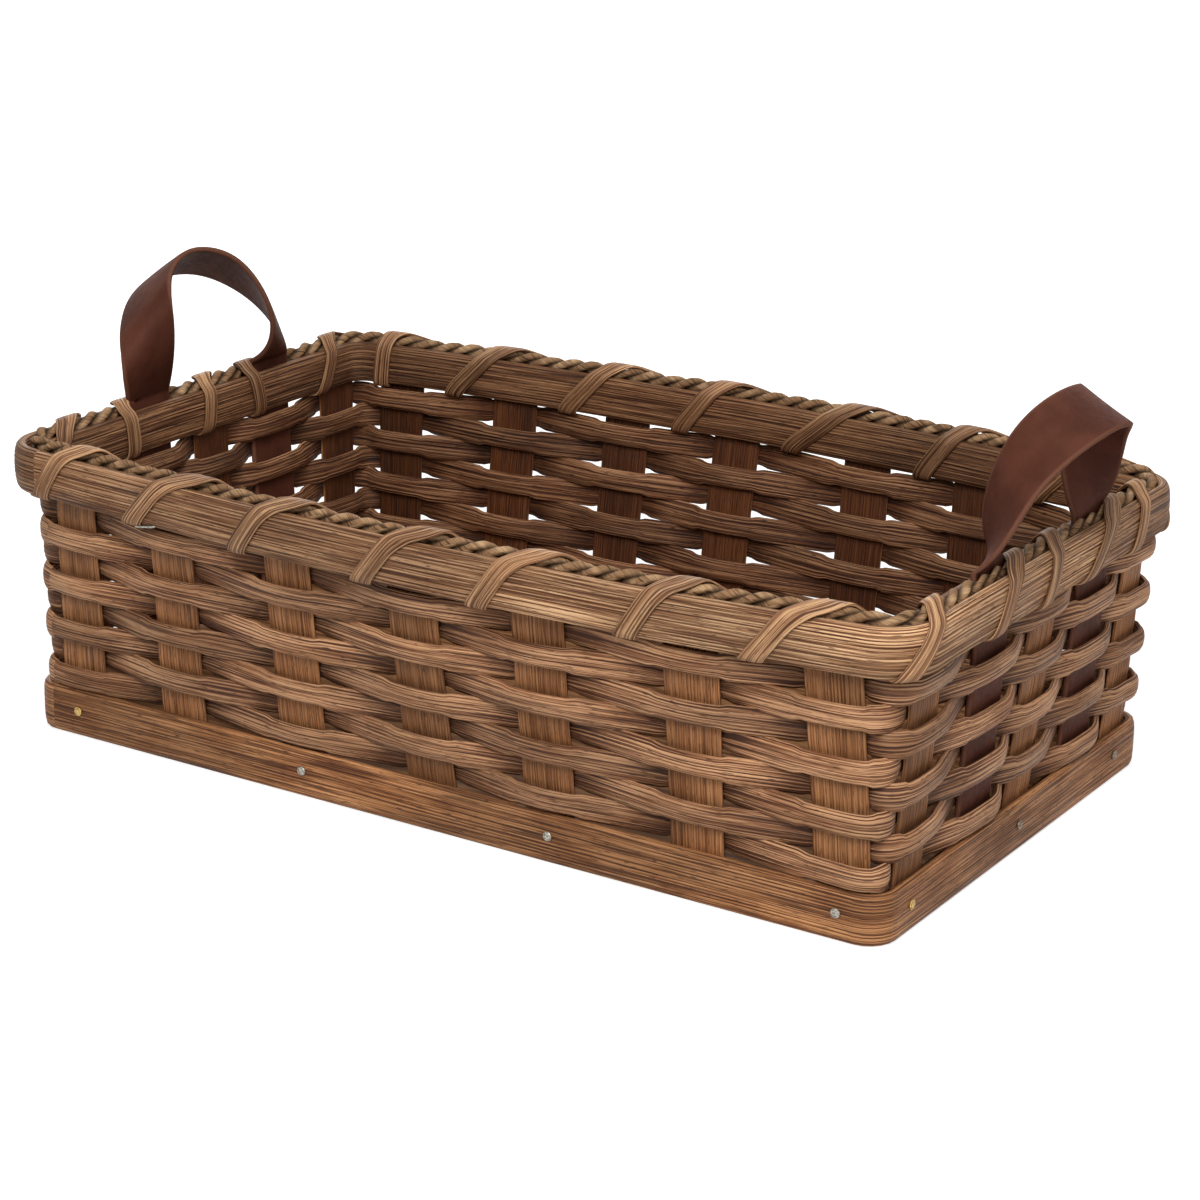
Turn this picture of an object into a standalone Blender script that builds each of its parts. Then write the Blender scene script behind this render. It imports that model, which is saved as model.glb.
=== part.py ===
# Bread roll basket: a rectangular reed basket woven over a wooden base, with a leather handle at each end.
# The long sides run along X and the two handles stand over the ends. Metres, +Z up, base on z = 0.
# Every closed ring goes counter-clockwise seen from above, starting at the left end of the front side.

import math
from functools import lru_cache

import bmesh
import bpy
import numpy as np
from mathutils import Matrix

# Foot of the basket
BAND_LENGTH = 0.3784
BAND_WIDTH = 0.2170
BAND_HEIGHT = 0.0186
BAND_THICKNESS = 0.0040
BOARD_THICKNESS = 0.0159
FOOT_CORNER_RADIUS = 0.0060

# Rim
RIM_LENGTH = 0.3962
RIM_WIDTH = 0.2266
RIM_TOP = 0.1150
RIM_HEIGHT = 0.0178
RIM_THICKNESS = 0.0049
RIM_ROUNDING = 0.0024
RIM_ROUNDING_HEIGHT = 0.0035
RIM_CORNER_RADIUS = 0.0120
SIDE_BOW = 0.0123
INNER_RIM_THICKNESS = 0.0045
INNER_RIM_DROP = 0.0006
RIM_ROW_THICKNESS = 0.0016

# Uprights, weavers and trim
STAKE_WIDTH = 0.0212
STAKE_THICKNESS = 0.0016
WEAVER_ROWS = 8
WEAVER_HEIGHT = 0.0091
WEAVER_THICKNESS = 0.0034
FILLER_DIAMETER = 0.0050
FILLER_SQUEEZED = 0.0026
LASHING_WIDTH = 0.0066
LASHING_THICKNESS = 0.0010
NAIL_HEAD_DIAMETER = 0.0035
NAIL_CROWN_DIAMETER = 0.0021
NAIL_HEAD_HEIGHT = 0.0008
NAIL_HEAD_EDGE = 0.0004
NAIL_SHANK_DIAMETER = 0.0016
NAIL_TIP_DIAMETER = 0.0005
NAIL_POINT_LENGTH = 0.0016
NAIL_LENGTH = 0.0160
NAIL_LEVEL = 0.0105

# Leather
STRAP_WIDTH = 0.0254
STRAP_THICKNESS = 0.0022

# Clearances
FIT_GAP = 0.0003
WRAP_GAP = 0.0006
EDGE_MARGIN = 0.0004
BAND_CHAMFER = 0.0008
SQUEEZE_MARGIN = 0.0008
SQUEEZE_TAPER = 0.0075
WRAP_MARGIN = 0.0044
STRAP_WRAP_MARGIN = 0.0082
WRAP_TAIL_SHARE = 0.25

# Places of the uprights along each side, as shares of half the foot's length on that side
FRONT_STAKES = (-0.8776, -0.5838, -0.2780, 0.0283, 0.3139, 0.6436, 0.9168)
BACK_STAKES = (-0.9140, -0.6077, -0.3319, 0.0054, 0.2911, 0.5903, 0.8950)
RIGHT_STAKES = (-0.8390, -0.0291, 0.7468)
LEFT_STAKES = (-0.8390, -0.0388, 0.7468)
# At the rim the shares are smaller by these factors, on the long sides and on the ends
LONG_SIDE_DRAW_SHARE = 0.9730
END_DRAW_SHARE = 0.9904
# The first stake of each end leans this far towards its corner at the rim
CORNER_STAKE_LEAN = 0.0025
# Places of the nails, as the same shares
LONG_SIDE_NAILS = (-0.8977, -0.2987, 0.3009, 0.9331)
END_NAILS = (-0.8506, -0.0339, 0.7759)

# Each handle loop, from its root nearest the front to its root nearest the back: the middle of the strap
# (X beyond the wall, Y, height over the hinge), then the way to its outer edge, in half strap widths
RIGHT_LOOP = ((0.0, -0.0401, 0.0, 0.0, -1.00, 0.0), (0.0019, -0.0394, 0.0154, 0.73, -0.69, -0.05),
              (0.0074, -0.0328, 0.0343, 0.82, -0.47, -0.33),
              (0.0144, -0.0191, 0.0461, 0.90, -0.23, -0.37),
              (0.0172, -0.0003, 0.0491, 0.91, -0.10, -0.37),
              (0.0135, 0.0187, 0.0452, 0.82, 0.02, -0.46), (0.0042, 0.0336, 0.0361, 0.82, 0.34, -0.52),
              (-0.0010, 0.0413, 0.0198, 0.65, 0.73, -0.39), (0.0, 0.0408, 0.0, 0.0, 1.00, 0.0))
LEFT_LOOP = ((0.0, -0.0342, 0.0, 0.0, -1.00, 0.0), (-0.0064, -0.0396, 0.0161, 0.33, -0.83, -0.74),
             (-0.0055, -0.0397, 0.0304, 0.38, -0.81, -0.87),
             (0.0038, -0.0277, 0.0389, 0.57, -0.56, -0.73),
             (0.0097, -0.0103, 0.0456, 0.81, -0.08, -0.61),
             (0.0064, 0.0099, 0.0460, 0.72, 0.50, -0.59), (-0.0035, 0.0271, 0.0350, 0.53, 0.84, -0.81),
             (-0.0096, 0.0373, 0.0156, 0.61, 1.00, -0.61), (0.0, 0.0431, 0.0, 0.0, 1.00, 0.0))

# Sizes worked out from the ones above
RIM_BOTTOM = RIM_TOP - RIM_HEIGHT
UPRIGHT_HALF = max(STAKE_THICKNESS, STRAP_THICKNESS) / 2
BAND_INNER = UPRIGHT_HALF + FIT_GAP
RIM_INNER_FACE = UPRIGHT_HALF + FIT_GAP + FILLER_SQUEEZED + FIT_GAP
RIM_OUTER_FACE = RIM_INNER_FACE + RIM_THICKNESS
INNER_RIM_BACK = -(UPRIGHT_HALF + FIT_GAP)
INNER_RIM_FRONT = INNER_RIM_BACK - INNER_RIM_THICKNESS
INNER_RIM_TOP = RIM_TOP - INNER_RIM_DROP
FOOT_HALF_LENGTH = BAND_LENGTH / 2 - BAND_THICKNESS - BAND_INNER
FOOT_HALF_WIDTH = BAND_WIDTH / 2 - BAND_THICKNESS - BAND_INNER
HEAD_HALF_LENGTH = RIM_LENGTH / 2 - RIM_OUTER_FACE
HEAD_HALF_WIDTH = RIM_WIDTH / 2 - RIM_OUTER_FACE
FILLER_LEVEL = RIM_TOP + FIT_GAP
FILLER_TOP = FILLER_LEVEL + FILLER_DIAMETER / 2
STAKE_TOP = FILLER_LEVEL - FILLER_DIAMETER / 2 - FIT_GAP
ROWS_TOP = RIM_BOTTOM - WRAP_GAP - LASHING_THICKNESS - FIT_GAP
ROWS_BOTTOM = BAND_HEIGHT + FIT_GAP
ROW_PITCH = (ROWS_TOP - ROWS_BOTTOM) / WEAVER_ROWS
HINGE_LEVEL = FILLER_TOP + STRAP_THICKNESS / 2 - FIT_GAP
LEG_TOP = HINGE_LEVEL - STRAP_THICKNESS / 2 - FIT_GAP

# How finely the shapes are cut
SIDE_STEPS = 48
CORNER_STEPS = 24
CORNER_STATIONS = 4
LEAST_STATION_STEP = 0.0012
RIM_STATION_SPACING = 0.022
LOOP_STATIONS = 33
TUBE_SIDES = 8
FACE_CUTS = 2
UPRIGHT_STEPS = 4
FLAT_STEPS = 1
BENT_STEPS = 5
STEEPEST_CUT = 1.6
ROUND_END_ANGLES = (35, 65, 84)


def clear_scene():
    for item in list(bpy.data.objects):
        bpy.data.objects.remove(item, do_unlink=True)


def make_material(name, colour, roughness, metallic=0.0):
    material = bpy.data.materials.new(name)
    material.use_nodes = True
    shader = material.node_tree.nodes["Principled BSDF"]
    shader.inputs["Base Color"].default_value = (*colour, 1.0)
    shader.inputs["Roughness"].default_value = roughness
    shader.inputs["Metallic"].default_value = metallic
    return material


def add_object(name, mesh, material):
    mesh.materials.clear()
    mesh.materials.append(material)
    item = bpy.data.objects.new(name, mesh)
    bpy.context.scene.collection.objects.link(item)
    return item


def mesh_from_bmesh(name, shape):
    bmesh.ops.recalc_face_normals(shape, faces=shape.faces)
    mesh = bpy.data.meshes.new(name)
    shape.to_mesh(mesh)
    shape.free()
    return mesh


# The middle surface of the wall. At height z it is a rounded rectangle whose long sides bow outward;
# half sizes, corner radius and bow all grow evenly from the top of the band to the foot of the rim.
@lru_cache(maxsize=None)
def wall_outline(z):
    rise = min(max((z - BAND_HEIGHT) / (RIM_BOTTOM - BAND_HEIGHT), 0.0), 1.0)
    half_x = FOOT_HALF_LENGTH + (HEAD_HALF_LENGTH - FOOT_HALF_LENGTH) * rise
    half_y = FOOT_HALF_WIDTH + (HEAD_HALF_WIDTH - FOOT_HALF_WIDTH) * rise
    radius = FOOT_CORNER_RADIUS + (RIM_CORNER_RADIUS - FOOT_CORNER_RADIUS) * rise
    bow = SIDE_BOW * rise
    across = np.linspace(-1, 1, SIDE_STEPS + 1)
    turn = np.linspace(0, math.pi / 2, CORNER_STEPS + 1)
    front = np.stack([across * (half_x - radius), -(half_y + bow * (1 - across ** 2))], 1)
    right = np.stack([np.full_like(across, half_x), across * (half_y - radius)], 1)
    arc = radius * np.stack([np.sin(turn), -np.cos(turn)], 1)
    first_corner = arc + [half_x - radius, radius - half_y]
    second_corner = np.stack([-arc[:, 1], arc[:, 0]], 1) + [half_x - radius, half_y - radius]
    half = np.concatenate([front, first_corner[1:], right[1:], second_corner[1:]])
    points = np.concatenate([half, -half[1:]])
    steps = np.linalg.norm(np.diff(points, axis=0), axis=1)
    length = np.concatenate([[0.0], np.cumsum(steps)])
    before = np.roll(points[:-1], 1, axis=0)
    after = np.roll(points[:-1], -1, axis=0)
    along = after - before
    normals = np.stack([along[:, 1], -along[:, 0]], 1)
    normals /= np.linalg.norm(normals, axis=1)[:, None]
    normals = np.concatenate([normals, normals[:1]])
    quarter = SIDE_STEPS + CORNER_STEPS
    middles = length[[SIDE_STEPS // 2 + quarter * side for side in range(4)]]
    picks = [SIDE_STEPS + quarter * side + np.arange(0, CORNER_STEPS + 1, CORNER_STEPS // CORNER_STATIONS)
             for side in range(4)]
    corners = length[np.concatenate(picks)]
    return points, normals, length, middles, corners


# A point of the wall at height z, a distance along it, and an offset out of it
def on_wall(z, distance, offset):
    distance, offset = np.broadcast_arrays(distance, offset)
    points, normals, length, _, _ = wall_outline(z)
    where = np.mod(distance, length[-1])
    place = np.stack([np.interp(where, length, points[:, axis]) for axis in range(2)], -1)
    normal = np.stack([np.interp(where, length, normals[:, axis]) for axis in range(2)], -1)
    normal /= np.linalg.norm(normal, axis=-1, keepdims=True)
    flat = place + normal * offset[..., None]
    return np.concatenate([flat, np.full(flat.shape[:-1] + (1,), z)], -1)


# Mesh from cross-sections that follow each other, closed into a ring or capped at both ends
def sweep_mesh(name, sections, closed):
    count, sides, _ = sections.shape
    shape = bmesh.new()
    rows = [[shape.verts.new(point) for point in section] for section in sections]
    for step in range(count if closed else count - 1):
        here, there = rows[step], rows[(step + 1) % count]
        for side in range(sides):
            beside = (side + 1) % sides
            shape.faces.new((here[side], here[beside], there[beside], there[side]))
    if not closed:
        shape.faces.new(rows[0])
        shape.faces.new(rows[-1][::-1])
    return mesh_from_bmesh(name, shape)


# Distances round the wall at which a rim ring is cut: every corner step, and even steps on the sides
def ring_stations(z):
    _, _, length, _, corners = wall_outline(z)
    stations = list(corners)
    ends = list(corners[CORNER_STATIONS::CORNER_STATIONS + 1])
    starts = list(corners[::CORNER_STATIONS + 1][1:]) + [length[-1] + corners[0]]
    for end, start in zip(ends, starts):
        count = max(int(round((start - end) / RIM_STATION_SPACING)), 1)
        stations += [end + (start - end) * step / count for step in range(1, count)]
    return np.sort(np.mod(stations, length[-1]))


# A ring whose cross-section is a list of (offset, height) corners
def wall_ring(name, profile):
    distances = ring_stations(profile[0][1])
    turn = distances / wall_outline(profile[0][1])[2][-1]
    columns = [on_wall(z, turn * wall_outline(z)[2][-1], offset) for offset, z in profile]
    return sweep_mesh(name, np.stack(columns, 1), True)


# Half the length of the foot on a side, counted from the front side counter-clockwise
def half_foot(side):
    return (FOOT_HALF_LENGTH, FOOT_HALF_WIDTH)[side % 2]


# Half the length over which the uprights of a side spread at the rim
def half_rim(side):
    return (HEAD_HALF_LENGTH * LONG_SIDE_DRAW_SHARE, HEAD_HALF_WIDTH * END_DRAW_SHARE)[side % 2]


# Uprights in order round the wall, each with its side, its places at foot and rim, its width and thickness
def list_uprights():
    legs = {1: (RIGHT_LOOP[0][1], RIGHT_LOOP[-1][1]), 3: (-LEFT_LOOP[-1][1], -LEFT_LOOP[0][1])}
    uprights = []
    for side, stakes in enumerate((FRONT_STAKES, RIGHT_STAKES, BACK_STAKES, LEFT_STAKES)):
        found = [dict(side=side, foot=share * half_foot(side), rim=share * half_rim(side),
                      width=STAKE_WIDTH, thickness=STAKE_THICKNESS, kind="stake") for share in stakes]
        if side in legs:
            found[0]["rim"] -= CORNER_STAKE_LEAN
        found += [dict(side=side, foot=place, rim=place, width=STRAP_WIDTH, thickness=STRAP_THICKNESS,
                       kind="leg") for place in legs.get(side, ())]
        uprights += sorted(found, key=lambda upright: upright["rim"])
    return uprights


def upright_distance(upright, z):
    share = min(max((z - BAND_HEIGHT) / (RIM_BOTTOM - BAND_HEIGHT), 0.0), 1.0)
    place = upright["foot"] + (upright["rim"] - upright["foot"]) * share
    return wall_outline(z)[3][upright["side"]] + place


# A flat upright that follows the wall from the floor to its top, and bends where it reaches a corner
def upright_mesh(name, upright, top):
    levels = [FIT_GAP, *np.linspace(BAND_HEIGHT, RIM_BOTTOM, UPRIGHT_STEPS + 1), top]
    half = upright["thickness"] / 2
    straight = (HEAD_HALF_LENGTH, HEAD_HALF_WIDTH)[upright["side"] % 2] - RIM_CORNER_RADIUS
    bent = abs(upright["rim"]) + upright["width"] / 2 > straight
    steps = BENT_STEPS if bent else FLAT_STEPS
    across = np.linspace(-0.5, 0.5, steps + 1) * upright["width"]
    sections = []
    for z in levels:
        middle = upright_distance(upright, z)
        outer = on_wall(z, middle + across, half)
        inner = on_wall(z, middle + across[::-1], -half)
        sections.append(np.concatenate([outer, inner]))
    return sweep_mesh(name, np.stack(sections), False)


# One row of weaving: outside one upright and inside the next, all the way round
def weaver_mesh(name, row, uprights):
    z = ROWS_TOP - (row - 0.5) * ROW_PITCH
    length = wall_outline(z)[2][-1]
    edges, offsets = [], []
    for order, upright in enumerate(uprights):
        outward = 1 if (order + row) % 2 == 0 else -1
        reach = outward * (upright["thickness"] / 2 + FIT_GAP + WEAVER_THICKNESS / 2)
        middle = upright_distance(upright, z)
        half = upright["width"] / 2 + EDGE_MARGIN
        edges += [middle - half, middle + half]
        offsets += [reach, reach]
    edges, offsets = np.array(edges), np.array(offsets)
    crossings = (edges[1::2] + np.append(edges[2::2], edges[0] + length)) / 2
    corners = wall_outline(z)[4]
    fixed = np.mod(np.concatenate([edges, crossings]), length)
    clear = [place for place in corners if np.abs(fixed - place).min() > LEAST_STATION_STEP]
    stations = np.sort(np.concatenate([fixed, clear]))
    ring = np.concatenate([edges - length, edges, edges + length])
    reach = np.interp(stations, ring, np.tile(offsets, 3))
    half = WEAVER_THICKNESS / 2
    turn = stations / length
    columns = []
    for outward, up in ((1, -1), (1, 1), (-1, 1), (-1, -1)):
        level = z + up * WEAVER_HEIGHT / 2
        columns.append(on_wall(level, turn * wall_outline(level)[2][-1], reach + outward * half))
    return sweep_mesh(name, np.stack(columns, 1), True)


def board_mesh(name):
    shape = bmesh.new()
    outline = on_wall(0.0, ring_stations(0.0), INNER_RIM_BACK)
    bottom = shape.faces.new([shape.verts.new(point) for point in outline])
    top = bmesh.ops.extrude_face_region(shape, geom=[bottom])["geom"]
    raised = [item for item in top if isinstance(item, bmesh.types.BMVert)]
    bmesh.ops.translate(shape, verts=raised, vec=(0, 0, BOARD_THICKNESS))
    return mesh_from_bmesh(name, shape)


# The seagrass tube lies on the stakes between the rims, and is squeezed thin where a strap passes it
def filler_mesh(name, uprights):
    length = wall_outline(FILLER_LEVEL)[2][-1]
    marks, halves = [], []
    for upright in uprights:
        if upright["kind"] == "leg":
            middle = upright_distance(upright, FILLER_LEVEL)
            near = upright["width"] / 2 + SQUEEZE_MARGIN
            far = near + SQUEEZE_TAPER
            marks += [middle - far, middle - near, middle + near, middle + far]
            halves += [FILLER_DIAMETER / 2, FILLER_SQUEEZED / 2, FILLER_SQUEEZED / 2, FILLER_DIAMETER / 2]
    marks = np.array(marks)
    clear = [place for place in ring_stations(FILLER_LEVEL)
             if np.abs(marks - place).min() > FILLER_DIAMETER / 2]
    stations = np.sort(np.concatenate([marks, clear]))
    half = np.interp(stations, marks, halves)
    offset = RIM_INNER_FACE - FIT_GAP - half
    columns = []
    for side in range(TUBE_SIDES):
        angle = 2 * math.pi * side / TUBE_SIDES
        level = FILLER_LEVEL + FILLER_DIAMETER / 2 * math.sin(angle)
        columns.append(on_wall(level, stations, offset + half * math.cos(angle)))
    return sweep_mesh(name, np.stack(columns, 1), True)


# The rim bundle in cross-section, as (offset, height) corners from under the outer rim, up and over
def bundle_corners():
    diagonal = FILLER_DIAMETER / 2 * math.sqrt(0.5)
    filler = RIM_INNER_FACE - FIT_GAP - FILLER_DIAMETER / 2
    return np.array([
        (RIM_OUTER_FACE - RIM_ROUNDING, RIM_BOTTOM),
        (RIM_OUTER_FACE, RIM_BOTTOM + RIM_ROUNDING_HEIGHT),
        (RIM_OUTER_FACE, RIM_TOP - RIM_ROUNDING_HEIGHT),
        (RIM_OUTER_FACE - RIM_ROUNDING, RIM_TOP),
        (filler + diagonal, FILLER_LEVEL + diagonal),
        (filler, FILLER_TOP),
        (filler - diagonal, FILLER_LEVEL + diagonal),
        (INNER_RIM_FRONT + RIM_ROUNDING, INNER_RIM_TOP),
        (INNER_RIM_FRONT, INNER_RIM_TOP - RIM_ROUNDING_HEIGHT),
        (INNER_RIM_FRONT, RIM_BOTTOM + RIM_ROUNDING_HEIGHT),
        (INNER_RIM_FRONT + RIM_ROUNDING, RIM_BOTTOM)])


# The same corners moved outward by a distance, with mitred corners
def grown(corners, distance):
    edges = np.roll(corners, -1, axis=0) - corners
    edges /= np.linalg.norm(edges, axis=1)[:, None]
    outward = np.stack([edges[:, 1], -edges[:, 0]], 1)
    before = np.roll(outward, 1, axis=0)
    mitre = before + outward
    return corners + mitre * distance / (1 + (before * outward).sum(1))[:, None]


# Extra points on the two tall faces, so that the strip bends round the corners of the basket
def with_face_cuts(corners):
    cuts = np.linspace(0, 1, FACE_CUTS + 1)[1:-1, None]
    pieces = []
    for corner, following in zip(corners, corners[1:]):
        pieces.append(corner[None])
        if abs(following[1] - corner[1]) > RIM_HEIGHT / 2:
            pieces.append(corner + (following - corner) * cuts)
    return np.concatenate(pieces + [corners[-1:]])


# One flat strip wound round the whole rim. It dips under the rims just before each upright, climbs
# slantwise over the outer rim past that upright, and comes down inside towards the next one.
def lashing_mesh(name, uprights):
    under = with_face_cuts(grown(bundle_corners(), WRAP_GAP))
    over = with_face_cuts(grown(bundle_corners(), WRAP_GAP + LASHING_THICKNESS))
    length = wall_outline(RIM_TOP)[2][-1]
    steps = np.linalg.norm(np.diff(under, axis=0), axis=1)
    travel = np.concatenate([[0.0], np.cumsum(steps)])
    crest = int(np.argmax(under[:, 1]))
    middles = np.array([upright_distance(upright, RIM_TOP) for upright in uprights])
    margins = {"stake": WRAP_MARGIN, "leg": STRAP_WRAP_MARGIN}
    halves = np.array([upright["width"] / 2 + margins[upright["kind"]] for upright in uprights])
    dips, crests = middles - halves, middles + halves
    next_dips = np.append(dips[1:], dips[0] + length)
    distances, inner, outer = [], [], []
    for dip, top, following in zip(dips, crests, next_dips):
        climb = dip + (top - dip) * travel[:crest + 1] / travel[crest]
        descent = travel[crest + 1:] - travel[crest]
        fall = top + (following - top) * descent / descent[-1]
        distances.append(np.concatenate([climb, fall]))
        inner.append(under)
        outer.append(over)
    distances, inner, outer = (np.concatenate(group) for group in (distances, inner, outer))
    inner, outer = (np.concatenate([first[:1] + (first[-1:] - first[:1]) * WRAP_TAIL_SHARE, path,
                                    first[-1:] + (first[:1] - first[-1:]) * WRAP_TAIL_SHARE])
                    for first, path in ((under, inner), (over, outer)))
    distances = np.concatenate([distances[:1], distances, distances[-1:]])
    run = np.linalg.norm(np.diff(inner, axis=0), axis=1)
    slant = np.diff(distances) / run
    slant = np.concatenate([slant[:1], (slant[1:] + slant[:-1]) / 2, slant[-1:]])
    half = LASHING_WIDTH / 2 * np.minimum(np.sqrt(1 + slant ** 2), STEEPEST_CUT)
    sections = []
    for distance, reach, low, high in zip(distances, half, inner, outer):
        across = distance + reach * np.array([-1, 0, 1])
        sections.append(np.concatenate([on_wall(high[1], across, high[0]),
                                        on_wall(low[1], across[::-1], low[0])]))
    sections = np.stack(sections)
    print_least_gap(name, sections, len(under) // 2)
    return sweep_mesh(name, sections, False)


# The least distance between points of the strip that are not neighbours along it
def print_least_gap(name, sections, neighbours):
    count = len(sections)
    least = math.inf
    for step in range(count - neighbours):
        later = sections[step + neighbours:].reshape(-1, 3)
        away = np.linalg.norm(sections[step][:, None] - later[None], axis=2)
        least = min(least, away.min())
    print(f"{name}: least gap to itself {least * 1000:.2f} mm")


# A smooth curve through evenly spaced stations, each a row of numbers
def smooth_through(stations, count):
    rows = np.array(stations)
    size = len(rows)
    matrix = np.zeros((size, size))
    target = np.zeros_like(rows)
    for row in range(1, size - 1):
        matrix[row, row - 1:row + 2] = (1, 4, 1)
        target[row] = 6 * (rows[row - 1] - 2 * rows[row] + rows[row + 1])
    matrix[0, :3] = (1, -2, 1)
    matrix[-1, -3:] = (1, -2, 1)
    bend = np.linalg.solve(matrix, target)
    place = np.linspace(0, size - 1, count)
    low = np.minimum(place.astype(int), size - 2)
    share = (place - low)[:, None]
    left, right = 1 - share, share
    return (left * rows[low] + right * rows[low + 1]
            + ((left ** 3 - left) * bend[low] + (right ** 3 - right) * bend[low + 1]) / 6)


# A handle loop: a flat strap that starts along the wall, turns to lie across it at the top and turns
# back. Its sections run slantwise from edge to edge, the way leather bends. Its two lower ends are half
# round about the hinge line. Points are taken from the hinge.
def loop_mesh(name, stations, side):
    curve = smooth_through(stations, LOOP_STATIONS)
    centre = curve[:, :3] * (side, 1, 1)
    width = curve[:, 3:] * (side, 1, 1)
    along = np.gradient(centre, axis=0)
    along[0], along[-1] = (0, 0, 1), (0, 0, -1)
    face = np.cross(along, width)
    face /= np.linalg.norm(face, axis=1)[:, None]
    sections = list(strap_sections(centre, width, face, np.full(len(centre), STRAP_THICKNESS / 2)))
    for angle in ROUND_END_ANGLES:
        drop = STRAP_THICKNESS / 2 * math.sin(math.radians(angle))
        half = np.array([STRAP_THICKNESS / 2 * math.cos(math.radians(angle))])
        for end in (0, -1):
            below = strap_sections(centre[[end]] - (0, 0, drop), width[[end]], face[[end]], half)[0]
            sections.insert(0 if end == 0 else len(sections), below)
    return sweep_mesh(name, np.stack(sections), False)


def strap_sections(centre, width, face, half):
    across = width * STRAP_WIDTH / 2
    thick = face * half[:, None]
    return np.stack([centre + across + thick, centre + across - thick,
                     centre - across - thick, centre - across + thick], 1)


# A round nail along X: its tip is inside the board and its head stands outside the band
def nail_mesh(name):
    profile = ((NAIL_TIP_DIAMETER, -NAIL_LENGTH), (NAIL_SHANK_DIAMETER, NAIL_POINT_LENGTH - NAIL_LENGTH),
               (NAIL_SHANK_DIAMETER, 0.0), (NAIL_HEAD_DIAMETER, 0.0), (NAIL_HEAD_DIAMETER, NAIL_HEAD_EDGE),
               (NAIL_CROWN_DIAMETER, NAIL_HEAD_HEIGHT))
    angle = np.linspace(0, 2 * math.pi, TUBE_SIDES, endpoint=False)
    circle = np.stack([np.zeros(TUBE_SIDES), np.cos(angle), np.sin(angle)], 1)
    sections = [circle * diameter / 2 + (along, 0, 0) for diameter, along in profile]
    return sweep_mesh(name, np.stack(sections), False)


# Where each nail goes: its name, the point under its head and the way it points outward
def nail_places():
    _, _, _, middles, _ = wall_outline(NAIL_LEVEL)
    places = []
    for side, name in enumerate(("front", "right", "back", "left")):
        for order, share in enumerate((LONG_SIDE_NAILS, END_NAILS)[side % 2], 1):
            distance = middles[side] + share * half_foot(side)
            seat = on_wall(NAIL_LEVEL, distance, BAND_INNER + BAND_THICKNESS + FIT_GAP)
            outward = seat - on_wall(NAIL_LEVEL, distance, 0.0)
            places.append((f"nail_{name}_{order}", seat, math.atan2(outward[1], outward[0])))
    return places


# All the nail holes as one cutter, a clearance wider than the nails and closed at the bottom
def hole_cutter():
    shape = bmesh.new()
    radius = NAIL_SHANK_DIAMETER / 2 + FIT_GAP
    depth = NAIL_LENGTH + FIT_GAP + NAIL_HEAD_DIAMETER
    for _, seat, turn in nail_places():
        made = bmesh.ops.create_cone(shape, cap_ends=True, segments=TUBE_SIDES, radius1=radius,
                                     radius2=radius, depth=depth)["verts"]
        middle = NAIL_HEAD_DIAMETER - depth / 2
        outward = np.array([math.cos(turn), math.sin(turn), 0.0])
        bmesh.ops.rotate(shape, verts=made, matrix=Matrix.Rotation(math.pi / 2, 3, "Y"))
        bmesh.ops.rotate(shape, verts=made, matrix=Matrix.Rotation(turn, 3, "Z"))
        bmesh.ops.translate(shape, verts=made, vec=seat + outward * middle)
    mesh = mesh_from_bmesh("nail_hole_cutter", shape)
    cutter = bpy.data.objects.new("nail_hole_cutter", mesh)
    bpy.context.scene.collection.objects.link(cutter)
    cutter.hide_render = True
    cutter.display_type = "WIRE"
    return cutter


def drill(item, cutter):
    cut = item.modifiers.new("nail_holes", "BOOLEAN")
    cut.operation = "DIFFERENCE"
    cut.solver = "EXACT"
    cut.object = cutter


def has_nail(upright):
    side = upright["side"]
    nails = (LONG_SIDE_NAILS, END_NAILS)[side % 2]
    return any(abs(share * half_foot(side) - upright["foot"]) < upright["width"] / 2 for share in nails)


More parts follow.
